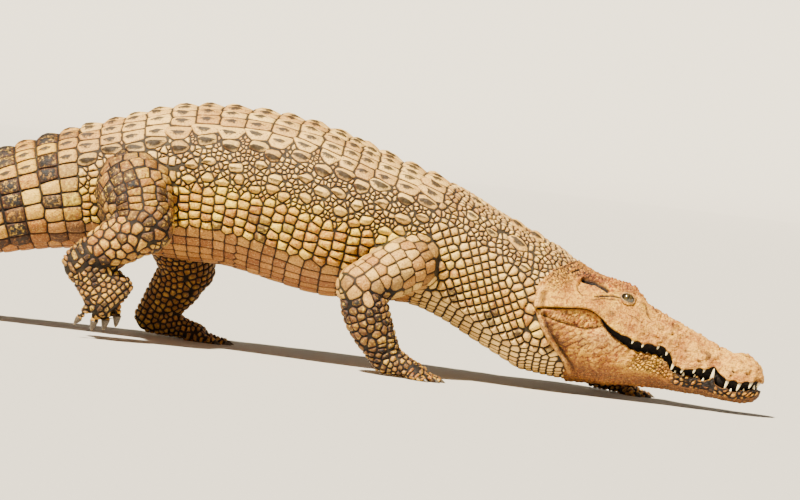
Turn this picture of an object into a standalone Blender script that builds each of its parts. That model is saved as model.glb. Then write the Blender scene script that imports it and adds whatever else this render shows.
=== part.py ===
"""A Nile crocodile, about 4 m long, in a striding high walk with its head held low.

Metres, +Z up, the animal faces +X and its left side is +Y. The floor is z = 0.
The body is one swept tube, parted by thin cuts, and the limbs are swept tubes cut to the body.
"""

import math

import bmesh
import bpy
import numpy as np
from mathutils import Matrix, Vector

# ---------------------------------------------------------------- driving sizes
CUT = 0.0006  # gap of a cut between two neighbouring lengths of the body
CLEAR = 0.0008  # gap between a limb and the body or limb that it meets
SNOUT_TIP = (1.774, -0.046, 0.095)
HEAD_PITCH = math.radians(12)  # the head's own axis points this far below level
HEAD_TURN = math.radians(4)  # and this far to the right
HEAD_LENGTH = 0.66  # snout tip to the cut behind the jaw's angle
AROUND_BODY = 20
RING_SPACING = 0.075
AROUND_LIMB = 10

# Body stations, tail tip to nape: x, y, z of the centre, half width, half height.
BODY = [
    (-2.330, 0.200, 0.012, 0.007, 0.012),
    (-2.150, 0.200, 0.026, 0.014, 0.027),
    (-1.950, 0.165, 0.040, 0.023, 0.042),
    (-1.700, 0.105, 0.058, 0.034, 0.060),
    (-1.450, 0.045, 0.080, 0.047, 0.080),
    (-1.250, 0.005, 0.104, 0.060, 0.097),
    (-1.050, -0.020, 0.143, 0.076, 0.110),
    (-0.850, -0.030, 0.196, 0.095, 0.121),
    (-0.650, -0.025, 0.256, 0.116, 0.132),
    (-0.430, -0.010, 0.325, 0.145, 0.142),
    (-0.270, 0.000, 0.377, 0.168, 0.160),
    (-0.080, 0.000, 0.420, 0.195, 0.188),
    (0.110, 0.000, 0.451, 0.225, 0.220),
    (0.254, 0.000, 0.456, 0.250, 0.225),
    (0.400, 0.000, 0.437, 0.268, 0.231),
    (0.545, 0.000, 0.404, 0.270, 0.224),
    (0.690, 0.000, 0.386, 0.250, 0.198),
    (0.815, 0.000, 0.362, 0.224, 0.180),
    (0.930, 0.000, 0.316, 0.206, 0.172),
    (1.030, 0.000, 0.269, 0.196, 0.175),
]
NAPE_LEVEL, NAPE_WIDTH, NAPE_HEIGHT = -0.008, 0.186, 0.182  # the body's last station
# Where the body is parted, as x of the centre line, and what each length is called.
BODY_CUTS = (-2.33, -1.75, -1.20, -0.70, -0.26, 0.26, 0.74)
BODY_NAMES = ("tail_tip", "tail_rear", "tail_middle", "tail_base", "hips", "belly", "neck")

# The tail's upright scales: paired rows as far as CREST_MERGE, one row behind it.
CREST_START, CREST_MERGE, CREST_END = -0.36, -1.34, -2.30
CREST_HEIGHT = 0.038
CREST_PITCH = 0.082

# Head profiles against h, the distance back from the snout tip along the head's axis.
TOP_LINE = (
    (0.000, 0.004), (0.015, 0.030), (0.045, 0.050), (0.075, 0.055), (0.110, 0.049),
    (0.160, 0.054), (0.220, 0.067), (0.300, 0.082), (0.360, 0.098), (0.410, 0.116),
    (0.450, 0.127), (0.490, 0.133), (0.530, 0.134), (0.600, 0.150), (0.660, 0.174),
)
MOUTH_LINE = (
    (0.000, -0.005), (0.022, -0.003), (0.047, -0.013), (0.075, -0.021), (0.104, -0.022),
    (0.127, -0.014), (0.142, -0.004), (0.160, -0.013), (0.185, -0.021), (0.214, -0.035),
    (0.237, -0.036), (0.258, -0.021), (0.275, -0.002), (0.300, 0.005), (0.333, -0.001),
    (0.367, -0.004), (0.398, -0.001), (0.427, 0.002), (0.453, 0.011), (0.477, 0.025),
    (0.515, 0.036), (0.578, 0.019), (0.615, 0.007), (0.660, -0.012),
)
CHIN_LINE = (
    (0.000, -0.040), (0.020, -0.062), (0.050, -0.074), (0.110, -0.081), (0.164, -0.089),
    (0.294, -0.114), (0.448, -0.156), (0.562, -0.180), (0.660, -0.190),
)
WIDTH_LINE = (
    (0.000, 0.020), (0.012, 0.040), (0.035, 0.057), (0.070, 0.066), (0.105, 0.065),
    (0.138, 0.055), (0.170, 0.071), (0.210, 0.083), (0.250, 0.084), (0.300, 0.094),
    (0.370, 0.119), (0.457, 0.150), (0.550, 0.176), (0.620, 0.188), (0.660, 0.186),
)
JAW_WIDTH_LINE = (
    (0.000, 0.016), (0.014, 0.036), (0.040, 0.052), (0.080, 0.060), (0.120, 0.066),
    (0.160, 0.060), (0.205, 0.065), (0.250, 0.068), (0.300, 0.078), (0.370, 0.102),
    (0.457, 0.137), (0.550, 0.170), (0.620, 0.188), (0.660, 0.186),
)
GAPE_LINE = (
    (0.000, 0.020), (0.034, 0.026), (0.075, 0.028), (0.104, 0.027), (0.127, 0.030),
    (0.142, 0.035), (0.160, 0.034), (0.185, 0.026), (0.214, 0.018), (0.237, 0.017),
    (0.258, 0.025), (0.275, 0.031), (0.300, 0.030), (0.333, 0.027), (0.367, 0.026),
    (0.392, 0.021), (0.423, 0.012), (0.455, 0.007), (0.472, 0.003), (0.482, CUT),
    (0.660, CUT),
)
# Each tooth's place along the jaw and its length.
UPPER_TEETH = (
    (0.012, 0.012), (0.031, 0.020), (0.060, 0.025), (0.094, 0.025), (0.165, 0.010), (0.190, 0.012),
    (0.222, 0.010), (0.250, 0.018), (0.277, 0.012), (0.305, 0.009), (0.346, 0.010), (0.375, 0.008),
)
LOWER_TEETH = (
    (0.020, 0.016), (0.045, 0.010), (0.078, 0.009), (0.138, 0.036), (0.160, 0.009), (0.185, 0.011),
    (0.216, 0.012), (0.240, 0.010), (0.290, 0.009), (0.330, 0.008),
)
EYE = (0.430, 0.086, 0.098)  # h, half spacing, height of an eyeball's centre
EYE_RADIUS = 0.022
BROW_HEIGHT = 0.022
TABLE_HALF_WIDTH = 0.088  # the flat roof of the skull

# Limbs: centre x, y, z and radius down the upper length, from inside the body to the elbow or
# knee, and then down the lower length, from there to the wrist or ankle.
LIMBS = {
    "right_fore": (
        ("upper_arm", "forearm", "hand"),
        [(0.810, -0.10, 0.330, 0.080), (0.745, -0.25, 0.300, 0.080), (0.640, -0.340, 0.232, 0.067)],
        [(0.640, -0.340, 0.232, 0.067), (0.678, -0.342, 0.143, 0.064), (0.738, -0.338, 0.047, 0.045)],
    ),
    "left_fore": (
        ("upper_arm", "forearm", "hand"),
        [(0.860, 0.10, 0.300, 0.080), (0.960, 0.235, 0.255, 0.076), (1.090, 0.320, 0.215, 0.062)],
        [(1.090, 0.320, 0.215, 0.062), (1.200, 0.318, 0.138, 0.057), (1.310, 0.300, 0.047, 0.043)],
    ),
    "right_hind": (
        ("thigh", "shank", "foot"),
        [(-0.030, -0.06, 0.440, 0.110), (-0.012, -0.205, 0.405, 0.112), (0.035, -0.290, 0.322, 0.078)],
        [(0.035, -0.290, 0.322, 0.078), (-0.050, -0.305, 0.262, 0.066), (-0.130, -0.310, 0.198, 0.054)],
    ),
    "left_hind": (
        ("thigh", "shank", "foot"),
        [(-0.010, 0.07, 0.430, 0.110), (0.070, 0.20, 0.325, 0.108), (0.112, 0.265, 0.205, 0.080)],
        [(0.112, 0.265, 0.205, 0.080), (0.070, 0.268, 0.130, 0.070), (0.018, 0.268, 0.052, 0.048)],
    ),
}
# Each digit of a paw, thumb first: sideways place, turn outwards in degrees, length, radius and
# bend downwards in degrees.
FINGERS = [(1.0, -36, 0.072, 0.014, 8), (0.5, -16, 0.096, 0.015, 8), (0.0, 0, 0.104, 0.015, 8),
           (-0.5, 18, 0.096, 0.014, 8), (-1.0, 38, 0.074, 0.012, 8)]
TOES = [(0.9, -16, 0.115, 0.016, 6), (0.3, -4, 0.140, 0.017, 6), (-0.3, 8, 0.145, 0.017, 6),
        (-0.9, 20, 0.115, 0.014, 6)]
HANGING_TOES = [(0.82, 2, 0.136, 0.0190, 12), (0.30, 8, 0.126, 0.0195, 12), (-0.22, 16, 0.110, 0.0180, 12),
                (-0.70, 40, 0.092, 0.0150, 10)]
FLAT, UPRIGHT = (1.0, 0.0, 0.0), (0.0, 0.0, 1.0)
# Paws: digits, side of the body, the ways the palm and its back face, palm length, half width
# and half height, and the ways the digits and their backs face.
PAWS = {
    "right_fore": (FINGERS, -1, (1, -0.08, -0.28), UPRIGHT, 0.095, 0.044, 0.022, FLAT, UPRIGHT),
    "left_fore": (FINGERS, 1, (1, 0.06, -0.28), UPRIGHT, 0.095, 0.044, 0.022, FLAT, UPRIGHT),
    "right_hind": (HANGING_TOES, -1, (0.76, -0.12, -0.60), (0.26, -0.85, 0.25), 0.122, 0.072, 0.034,
                   (0.20, -0.20, -1.0), (0.35, -1.0, 0.2)),
    "left_hind": (TOES, 1, (1, -0.02, -0.20), UPRIGHT, 0.145, 0.050, 0.026, FLAT, UPRIGHT),
}

SKIN_TONES = {
    "back": ((0.42, 0.33, 0.20, 1), 0.62),
    "side": ((0.52, 0.38, 0.15, 1), 0.58),
    "limb": ((0.40, 0.26, 0.12, 1), 0.60),
    "face": ((0.55, 0.40, 0.20, 1), 0.55),
    "eye": ((0.25, 0.22, 0.08, 1), 0.08),
}


# ---------------------------------------------------------------- scene and small tools
def clear_scene():
    for obj in list(bpy.data.objects):
        bpy.data.objects.remove(obj)


def new_collection(name):
    made = bpy.data.collections.new(name)
    bpy.context.scene.collection.children.link(made)
    return made


def skin_material(tone):
    """A Principled BSDF of one of the named tones, made once."""
    found = bpy.data.materials.get(tone)
    if found:
        return found
    colour, roughness = SKIN_TONES[tone]
    made = bpy.data.materials.new(tone)
    made.use_nodes = True
    shader = made.node_tree.nodes["Principled BSDF"]
    shader.inputs["Base Color"].default_value = colour
    shader.inputs["Roughness"].default_value = roughness
    shader.inputs["Metallic"].default_value = 0.0
    return made


def loft(name, rings, collection, tone):
    """A closed body through rings of points: quads between neighbours and a flat cap at each end."""
    rings = np.asarray(rings, float)
    count, around = rings.shape[:2]
    mesh = bpy.data.meshes.new(name)
    index = np.arange(count * around).reshape(count, around)
    sides = np.stack(
        [index[:-1], np.roll(index[:-1], -1, 1), np.roll(index[1:], -1, 1), index[1:]], axis=2
    ).reshape(-1, 4)
    faces = sides.tolist() + [index[0][::-1].tolist(), index[-1].tolist()]
    mesh.from_pydata(rings.reshape(-1, 3).tolist(), [], faces)
    built = bmesh.new()
    built.from_mesh(mesh)
    bmesh.ops.recalc_face_normals(built, faces=built.faces[:])
    built.to_mesh(mesh)
    built.free()
    mesh.shade_smooth()
    obj = bpy.data.objects.new(name, mesh)
    obj.data.materials.append(skin_material(tone))
    collection.objects.link(obj)
    return obj


def boolean(obj, operation, other):
    modifier = obj.modifiers.new(f"{operation.lower()} {other.name}", "BOOLEAN")
    modifier.operation = operation
    modifier.solver = "EXACT"
    modifier.object = other


def line(table, h):
    """A profile table read at h. Its slopes are kept gentle enough to overshoot no corner."""
    table = np.asarray(table, float)
    chord = np.diff(table[:, 1]) / np.diff(table[:, 0])
    before, after = chord[:-1], chord[1:]
    same = before * after > 0
    middle = np.where(same, 2 * before * after / np.where(same, before + after, 1), 0)
    return hermite(table[:, 0], table[:, 1], h, np.concatenate([chord[:1], middle, chord[-1:]]))


def hermite(knots, values, at, slope=None):
    """Cubic through the knots. Unless given, a knot's slope is that of the chord over it."""
    knots, values = np.asarray(knots, float), np.asarray(values, float)
    at = np.clip(np.asarray(at, float), knots[0], knots[-1])
    if slope is None:
        slope = np.gradient(values, knots, axis=0)
    i = np.clip(np.searchsorted(knots, at, side="right") - 1, 0, len(knots) - 2)
    step = knots[i + 1] - knots[i]
    t = (at - knots[i]) / step
    if values.ndim > 1:
        step, t = step[..., None], t[..., None]
    return (
        values[i] * (1 + 2 * t) * (1 - t) ** 2
        + values[i + 1] * t * t * (3 - 2 * t)
        + slope[i] * step * t * (1 - t) ** 2
        - slope[i + 1] * step * t * t * (1 - t)
    )


# ---------------------------------------------------------------- body tube
def crest(x):
    """Height of the paired and of the single upright tail scales at x: saw teeth that rise backwards."""
    along = np.clip((CREST_START - x) / (CREST_START - CREST_END), 0, 1)
    size = CREST_HEIGHT * np.clip(along * 6, 0, 1) * (1 - 0.55 * along**2)
    tooth = np.mod((CREST_START - x) / CREST_PITCH, 1.0)
    height = np.where(x < CREST_START, size * (0.30 + 0.70 * tooth), 0.0)
    single = np.clip((CREST_MERGE + 0.05 - x) / 0.10, 0, 1)
    return height * (1 - single), height * single


def body_table():
    """The body's stations and, last of them, the nape, where the body meets the head."""
    nape = head_point(HEAD_LENGTH, 0, NAPE_LEVEL)
    return np.array([*BODY, (*nape, NAPE_WIDTH, NAPE_HEIGHT)])


def body_ring(x, grow=0.0):
    """A ring of the body at centre line x: a superellipse, flatter below than above, square to the
    centre line. On the tail its top narrows and carries the crest."""
    table = body_table()
    place = hermite(table[:, 0], table[:, 1:], x)
    low, high = max(x - 0.01, table[0, 0]), min(x + 0.01, table[-1, 0])
    ahead = hermite(table[:, 0], table[:, 1:3], high) - hermite(table[:, 0], table[:, 1:3], low)
    forward = Vector((high - low, *ahead)).normalized()
    share = min(max((x - 0.96) / 0.14, 0), 1)
    forward = forward.lerp(Vector(head_way()), share).normalized()
    side = Vector((0, 0, 1)).cross(forward).normalized()
    up = forward.cross(side)
    angle = np.arange(AROUND_BODY) * 2 * math.pi / AROUND_BODY
    c, s = np.cos(angle), np.sin(angle)
    power = np.where(s > 0, 2.15, 2.45)
    round_y = np.sign(c) * np.abs(c) ** (2 / power)
    round_z = np.sign(s) * np.abs(s) ** (2 / power)
    tail = np.clip((-0.25 - x) / 0.6, 0, 1)
    width = (place[2] + grow) * (1 - 0.20 * tail * round_z)
    paired, single = crest(x)
    rise = paired * np.isclose(np.abs(angle - math.pi / 2), 2 * math.pi / AROUND_BODY)
    rise = rise + single * np.isclose(angle, math.pi / 2)
    y = round_y * width
    z = round_z * (place[3] + grow) + rise
    centre = np.array([x, place[0], place[1]])
    return centre + np.outer(y, np.array(side)) + np.outer(z, np.array(up))


def stations(low, high, spacing):
    """Places of the rings from low to high. On the tail each saw tooth gets its foot and its tip."""
    places = set(np.linspace(low, high, max(3, round((high - low) / spacing) + 1)))
    teeth = np.arange(1, 40) * CREST_PITCH
    tips = CREST_START - teeth
    tips = tips[(tips > low + 0.008) & (tips < high - 0.008)]
    if len(tips):
        places = {low, high, *(tips - 0.003), *(tips + 0.003)}
    return sorted(places)


def body_spans():
    """Where each length of the body starts and ends."""
    ends = [*BODY_CUTS, float(body_table()[-1, 0])]
    return list(zip(ends, ends[1:]))


def make_body(collection):
    """The seven lengths of the body, each ended half a cut short of the next."""
    made = []
    for name, (low, high) in zip(BODY_NAMES, body_spans()):
        places = stations(low + CUT / 2, high - CUT / 2, RING_SPACING)
        made.append(loft(name, [body_ring(x) for x in places], collection, "back"))
    return made


# ---------------------------------------------------------------- head
def head_way():
    """The way the head's axis points, from the nape to the snout."""
    flat = math.cos(HEAD_PITCH)
    return np.array([flat * math.cos(HEAD_TURN), -flat * math.sin(HEAD_TURN), -math.sin(HEAD_PITCH)])


def head_point(h, y, z):
    """From the head's own frame, back from the snout tip, left and up, to the world's."""
    forward = head_way()
    left = np.array([math.sin(HEAD_TURN), math.cos(HEAD_TURN), 0.0])
    up = np.cross(forward, left)
    h, y, z = (part[..., None] for part in np.broadcast_arrays(h, y, z))
    return np.array(SNOUT_TIP) - h * forward + y * left + z * up


def roof(h, across):
    """Height of the upper head above the mouth line at sideways share across: a rounded snout
    that widens into cheeks with the flat skull table and the brows standing on them."""
    top, mouth = line(TOP_LINE, h), line(MOUTH_LINE, h)
    width = line(WIDTH_LINE, h)
    back = np.clip((h - 0.33) / 0.13, 0, 1)
    back = back * back * (3 - 2 * back)
    y = np.abs(across) * width
    snout = (1 - np.abs(across) ** 2.3) ** (1 / 2.3)
    cheek = (1 - np.abs(across) ** 2.6) ** (1 / 2.6)
    table = 1 / (1 + (y / (TABLE_HALF_WIDTH + 0.012)) ** 8)
    flat = 0.40 * np.clip((0.66 - h) / 0.08, 0, 1)
    shape = snout * (1 - back) + back * ((1 - flat) * cheek + flat * table)
    brow = BROW_HEIGHT * np.exp(-(((h - EYE[0]) / 0.040) ** 2) - ((y - EYE[1] + 0.006) / 0.026) ** 2)
    hollow = 0.010 * np.exp(-(((h - EYE[0]) / 0.05) ** 2) - (y / 0.035) ** 2)
    nostrils = 0.008 * np.exp(-(((h - 0.050) / 0.022) ** 2) - ((y - 0.018) / 0.016) ** 2)
    return mouth + (top - mouth) * shape + brow - hollow + nostrils


def upper_ring(h):
    """Ring of the upper head: the roof from side to side, then the flat palate back."""
    width = line(WIDTH_LINE, h)
    mouth = line(MOUTH_LINE, h)
    over = np.sin(np.linspace(-0.5, 0.5, 17) * math.pi)
    below = np.linspace(1, -1, 5)[1:-1]
    y = np.concatenate([over * width, below * width])
    z = np.concatenate([roof(h, over), np.full(len(below), mouth)])
    z[0] = z[16] = mouth + 0.05 * (line(TOP_LINE, h) - mouth)
    return head_point(h, y, z)


def lower_ring(h):
    """Ring of the lower jaw: its flat top under the mouth line, then its rounded underside."""
    width = line(JAW_WIDTH_LINE, h)
    top = line(MOUTH_LINE, h) - line(GAPE_LINE, h)
    chin = line(CHIN_LINE, h)
    across = np.linspace(-1, 1, 5)
    under = np.linspace(0, math.pi, 13)[1:-1]
    y = np.concatenate([across * width, np.cos(under) * width])
    depth = np.sin(under) ** 0.80
    z = np.concatenate([np.full(len(across), top), top + (chin - top) * depth])
    return head_point(h, y, z)


def tooth_rows():
    """Each tooth as (in the upper jaw, h, side, length). Upper teeth hang outside the lower jaw,
    lower ones stand in the gap, and the fourth lower tooth stands in the notch of the snout."""
    rows = []
    for side in (-1, 1):
        rows += [(True, h, side, length) for h, length in UPPER_TEETH]
        rows += [(False, h, side, length) for h, length in LOWER_TEETH]
    return rows


def make_teeth(upper, helpers):
    """All the teeth of one jaw as one helper mesh of cones, to be joined to that jaw."""
    built = bmesh.new()
    for is_upper, h, side, length in tooth_rows():
        if is_upper != upper:
            continue
        inset = 0.007 if upper else 0.006
        width = line(WIDTH_LINE if upper else JAW_WIDTH_LINE, h) - inset
        root = line(MOUTH_LINE, h) - (0.0 if upper else line(GAPE_LINE, h))
        way = -1 if upper else 1
        place = Vector(head_point(h, side * width, root + way * (length / 2 - 0.006)).tolist())
        turn = Matrix.Rotation(HEAD_PITCH + (math.pi if upper else 0), 4, "Y")
        bmesh.ops.create_cone(
            built, cap_ends=True, segments=5, radius1=0.0052, radius2=0.0012,
            depth=length + 0.012, matrix=Matrix.Translation(place) @ turn,
        )
    name = "upper_tooth_row" if upper else "lower_tooth_row"
    return helper_from(built, name, helpers)


def helper_from(built, name, helpers):
    mesh = bpy.data.meshes.new(name)
    built.to_mesh(mesh)
    built.free()
    obj = bpy.data.objects.new(name, mesh)
    helpers.objects.link(obj)
    hide(obj)
    return obj


def hide(obj):
    obj.hide_render = True
    obj.display_type = "WIRE"


def ball(name, centre, radius, collection, segments=12):
    built = bmesh.new()
    bmesh.ops.create_uvsphere(
        built, u_segments=segments, v_segments=segments // 2, radius=radius,
        matrix=Matrix.Translation(Vector(centre)),
    )
    mesh = bpy.data.meshes.new(name)
    built.to_mesh(mesh)
    built.free()
    mesh.shade_smooth()
    obj = bpy.data.objects.new(name, mesh)
    collection.objects.link(obj)
    return obj


def make_head(collection, helpers):
    """Upper head and lower jaw with their teeth, and the eyes in their sockets."""
    front = np.array([0.0, 0.006, 0.014, 0.026, 0.042, 0.060])
    rest = np.linspace(0.082, HEAD_LENGTH - CUT / 2, 21)
    places = np.concatenate([front, rest])
    upper = loft("head", [upper_ring(h) for h in places], collection, "face")
    lower = loft("lower_jaw", [lower_ring(h) for h in places], collection, "face")
    boolean(upper, "UNION", make_teeth(True, helpers))
    boolean(lower, "UNION", make_teeth(False, helpers))
    for side, word in ((-1, "right"), (1, "left")):
        centre = head_point(EYE[0], side * EYE[1], EYE[2]).tolist()
        socket = ball(f"{word}_socket", centre, EYE_RADIUS + CLEAR, helpers)
        hide(socket)
        boolean(upper, "DIFFERENCE", socket)
        eye = ball(f"{word}_eye", centre, EYE_RADIUS, collection)
        eye.data.materials.append(skin_material("eye"))


# ---------------------------------------------------------------- limbs
def limb_line(points, t):
    """Centre and radius at share t of one length of a limb, on a smooth curve."""
    points = np.asarray(points, float)
    return hermite(np.linspace(0, 1, len(points)), points, t)


def limb_way(points, t):
    """The way the limb runs at share t."""
    ahead = limb_line(points, min(t + 0.04, 1)) - limb_line(points, max(t - 0.04, 0))
    return Vector(ahead[:3]).normalized()


def round_ring(centre, way, wide, high, tilt=(0.15, 0, 1), around=AROUND_LIMB):
    """An oval ring square to way, its long axis sideways of tilt."""
    side = way.cross(Vector(tilt)).normalized()
    up = side.cross(way)
    angle = np.arange(around) * 2 * math.pi / around
    return (
        np.array(centre)
        + np.outer(np.cos(angle) * wide, np.array(side))
        + np.outer(np.sin(angle) * high, np.array(up))
    )


def limb_rings(points, grow=0.0):
    """Rings down one length of a limb, a little drawn in where it starts inside the one before it,
    and ended by a dome that fills the bend of the joint."""
    rings = []
    for t in np.linspace(0, 1, 6):
        here = limb_line(points, t)
        size = (here[3] + grow) * (0.86 + 0.14 * min(1, 3.5 * t))
        rings.append(round_ring(here[:3], limb_way(points, t), size, size))
    way, here = limb_way(points, 1), limb_line(points, 1)
    for turn in (30, 62):
        out, size = math.sin(math.radians(turn)), math.cos(math.radians(turn))
        centre = here[:3] + np.array(way) * (here[3] + grow) * out
        size = (here[3] + grow) * size
        rings.append(round_ring(centre, way, size, size))
    return rings


def make_limb(limb, collection, helpers, body):
    """The upper and the lower length of a limb. The upper one is cut to the body, the lower one to
    the upper. Returns the cutter that the paw is cut with."""
    names, upper, lower = LIMBS[limb]
    first = loft(f"{limb}_{names[0]}", limb_rings(upper), collection, "limb")
    boolean(first, "DIFFERENCE", body)
    second = loft(f"{limb}_{names[1]}", limb_rings(lower), collection, "limb")
    boolean(second, "DIFFERENCE", body)
    cutters = []
    for name, points in ((names[0], upper), (names[1], lower)):
        cutter = loft(f"{limb}_{name}_cutter", limb_rings(points, CLEAR), helpers, "limb")
        hide(cutter)
        cutters.append(cutter)
    boolean(second, "DIFFERENCE", cutters[0])
    return cutters[1]


def digit_rings(base, forward, up, length, radius, bend):
    """Rings of one digit that curls down towards its claw: its width swells at each joint, and the
    last fifth is the claw, narrow and curved."""
    side = up.cross(forward)
    rings = []
    place = Vector(base)
    steps = np.array([0.0, 0.25, 0.50, 0.78, 0.83, 0.93, 1.0])
    for i, t in enumerate(steps):
        if i:
            turn = Matrix.Rotation(math.radians(bend) * (t - steps[i - 1]) * 2.2, 3, side)
            forward, up = turn @ forward, turn @ up
            place = place + forward * length * (t - steps[i - 1])
        swell = 1 + 0.10 * math.cos(t * 2 * math.pi * 2.5)
        size = radius * (1 - 0.35 * t) * swell
        if t > 0.82:
            size = radius * 0.50 * (1.12 - t) / 0.28
        angle = np.arange(6) * math.pi / 3
        rings.append(
            np.array(place)
            + np.outer(np.cos(angle) * size * 1.1, np.array(side))
            + np.outer(np.sin(angle) * size * 0.9, np.array(up))
        )
    return rings


def make_paw(limb, collection, helpers, standing, leg):
    """The palm or sole, a flat lobe from the wrist or ankle, joined to its digits and cut to the leg."""
    digits, hand, forward, up, length, half_width, half_height, ahead, over = PAWS[limb]
    names, _, lower = LIMBS[limb]
    wrist = limb_line(lower, 1)
    forward = Vector(forward).normalized()
    side = Vector(up).cross(forward).normalized()
    up = forward.cross(side)
    start = Vector(wrist[:3])
    rings = []
    for t in np.linspace(0, 1, 5):
        ease = t * t * (3 - 2 * t)
        wide = wrist[3] * 0.88 * (1 - ease) + half_width * ease
        high = wrist[3] * 0.88 * (1 - ease) + half_height * ease
        rings.append(round_ring(start + forward * (length * t), forward, wide, high, up))
    name = f"{limb}_{names[2]}"
    paw = loft(name, rings, collection, "limb")
    ahead, over = Vector(ahead).normalized(), Vector(over)
    over = (over - ahead * over.dot(ahead)).normalized()
    for i, (place, turn, size, thick, bend) in enumerate(digits):
        base = start + forward * (length * 0.80)
        base = base - side * (place * half_width * 0.80 * hand)
        if standing:
            base.z = thick * 0.72
        way = Matrix.Rotation(math.radians(turn * hand), 3, over) @ ahead
        rings = digit_rings(base, way, over, size, thick, bend)
        digit = loft(f"{name}_digit_{i + 1}", rings, helpers, "limb")
        hide(digit)
        boolean(paw, "UNION", digit)
    boolean(paw, "DIFFERENCE", leg)
    return paw


def floor_cutter(helpers):
    """A slab under the floor that gives the soles and the tail's underside their flats."""
    built = bmesh.new()
    below = Matrix.Translation((0, 0, -0.5)) @ Matrix.Diagonal((6, 3, 1, 1))
    bmesh.ops.create_cube(built, size=1.0, matrix=below)
    return helper_from(built, "floor_slab", helpers)


def centre_on_origin(objects):
    """Moves everything so that the middle of its box stands over the origin."""
    bpy.context.view_layer.update()
    graph = bpy.context.evaluated_depsgraph_get()
    corners = np.array([c for obj in objects for c in obj.evaluated_get(graph).bound_box])
    middle = (corners.min(0) + corners.max(0)) / 2
    for obj in bpy.data.objects:
        obj.location = (-middle[0], -middle[1], 0)


def main():
    clear_scene()
    crocodile = new_collection("crocodile")
    helpers = new_collection("helpers")
    slab = floor_cutter(helpers)
    body = make_body(crocodile)
    for length in body[:3]:
        boolean(length, "DIFFERENCE", slab)
    make_head(crocodile, helpers)
    spans = body_spans()[3:]
    places = [x for low, high in spans for x in stations(low + CUT / 2, high - CUT / 2, RING_SPACING)]
    cutter = loft("body_cutter", [body_ring(x, CLEAR) for x in places], helpers, "back")
    hide(cutter)
    for limb in LIMBS:
        leg = make_limb(limb, crocodile, helpers, cutter)
        standing = limb != "right_hind"
        paw = make_paw(limb, crocodile, helpers, standing, leg)
        if standing:
            boolean(paw, "DIFFERENCE", slab)
    centre_on_origin(list(crocodile.objects))


main()
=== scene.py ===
"""The looks of a still, life-size Nile crocodile.

One smooth skin lies just inside the body's solids, and every scale is a small solid plate that
stands on it. The head wears a close bony hide. Metres, +X is the way the animal faces, +Y its left.
Shapes are worked out in the animal's own frame and moved by SHIFT to where its solids stand.
"""

import math

import bpy
import numpy as np
from mathutils import Matrix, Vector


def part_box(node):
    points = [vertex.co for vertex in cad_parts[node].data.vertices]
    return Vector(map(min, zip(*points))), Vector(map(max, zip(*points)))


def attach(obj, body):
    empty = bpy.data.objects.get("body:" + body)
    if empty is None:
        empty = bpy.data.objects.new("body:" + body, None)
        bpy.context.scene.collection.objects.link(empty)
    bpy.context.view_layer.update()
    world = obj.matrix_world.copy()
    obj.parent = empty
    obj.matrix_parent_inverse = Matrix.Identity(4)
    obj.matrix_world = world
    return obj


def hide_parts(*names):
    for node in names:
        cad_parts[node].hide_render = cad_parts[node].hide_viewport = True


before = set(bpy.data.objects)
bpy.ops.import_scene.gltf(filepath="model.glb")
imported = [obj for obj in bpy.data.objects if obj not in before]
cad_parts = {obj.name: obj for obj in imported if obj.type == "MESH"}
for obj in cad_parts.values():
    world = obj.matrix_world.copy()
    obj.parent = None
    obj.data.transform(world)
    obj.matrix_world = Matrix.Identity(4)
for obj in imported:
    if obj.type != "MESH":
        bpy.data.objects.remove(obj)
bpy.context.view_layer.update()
RANDOM = np.random.default_rng(11)


def mm(*rows):
    """Rows of whole millimetres as an array in metres."""
    return np.array(rows) / 1000


# ---------------------------------------------------------------- the animal's own sizes
SNOUT_TIP = np.array([1.774, -0.046, 0.095])
HEAD_PITCH = math.radians(12)
HEAD_TURN = math.radians(4)
HEAD_LENGTH = 0.66
NAPE_LEVEL, NAPE_WIDTH, NAPE_HEIGHT = -0.008, 0.186, 0.182
HIDE_DEPTH = 0.005  # the skin lies this far inside the solids, and the scales fill the depth

# Body stations, tail tip to nape: x, y, z of the centre, half width, half height.
BODY = mm(
    (-2330, 200, 12, 7, 12), (-2150, 200, 26, 14, 27), (-1950, 165, 40, 23, 42), (-1700, 105, 58, 34, 60),
    (-1450, 45, 80, 47, 80), (-1250, 5, 104, 60, 97), (-1050, -20, 143, 76, 110),
    (-850, -30, 196, 95, 121), (-650, -25, 256, 116, 132), (-430, -10, 325, 145, 142),
    (-270, 0, 377, 168, 160), (-80, 0, 420, 195, 188), (110, 0, 451, 225, 220), (254, 0, 456, 250, 225),
    (400, 0, 437, 268, 231), (545, 0, 404, 270, 224), (690, 0, 386, 250, 198), (815, 0, 362, 224, 180),
    (930, 0, 316, 206, 172), (1030, 0, 269, 196, 175)
)
TAIL_ROOT = -0.17  # where the tail's whorls start
SHOULDER = 0.80  # where the neck's small scales start
# The tail's upright scales: paired rows from the start as far as the merge, one row behind it.
CREST_START, CREST_MERGE, CREST_END = -0.36, -1.34, -2.30
CREST_HEIGHT, CREST_PITCH = 0.036, 0.082

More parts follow.
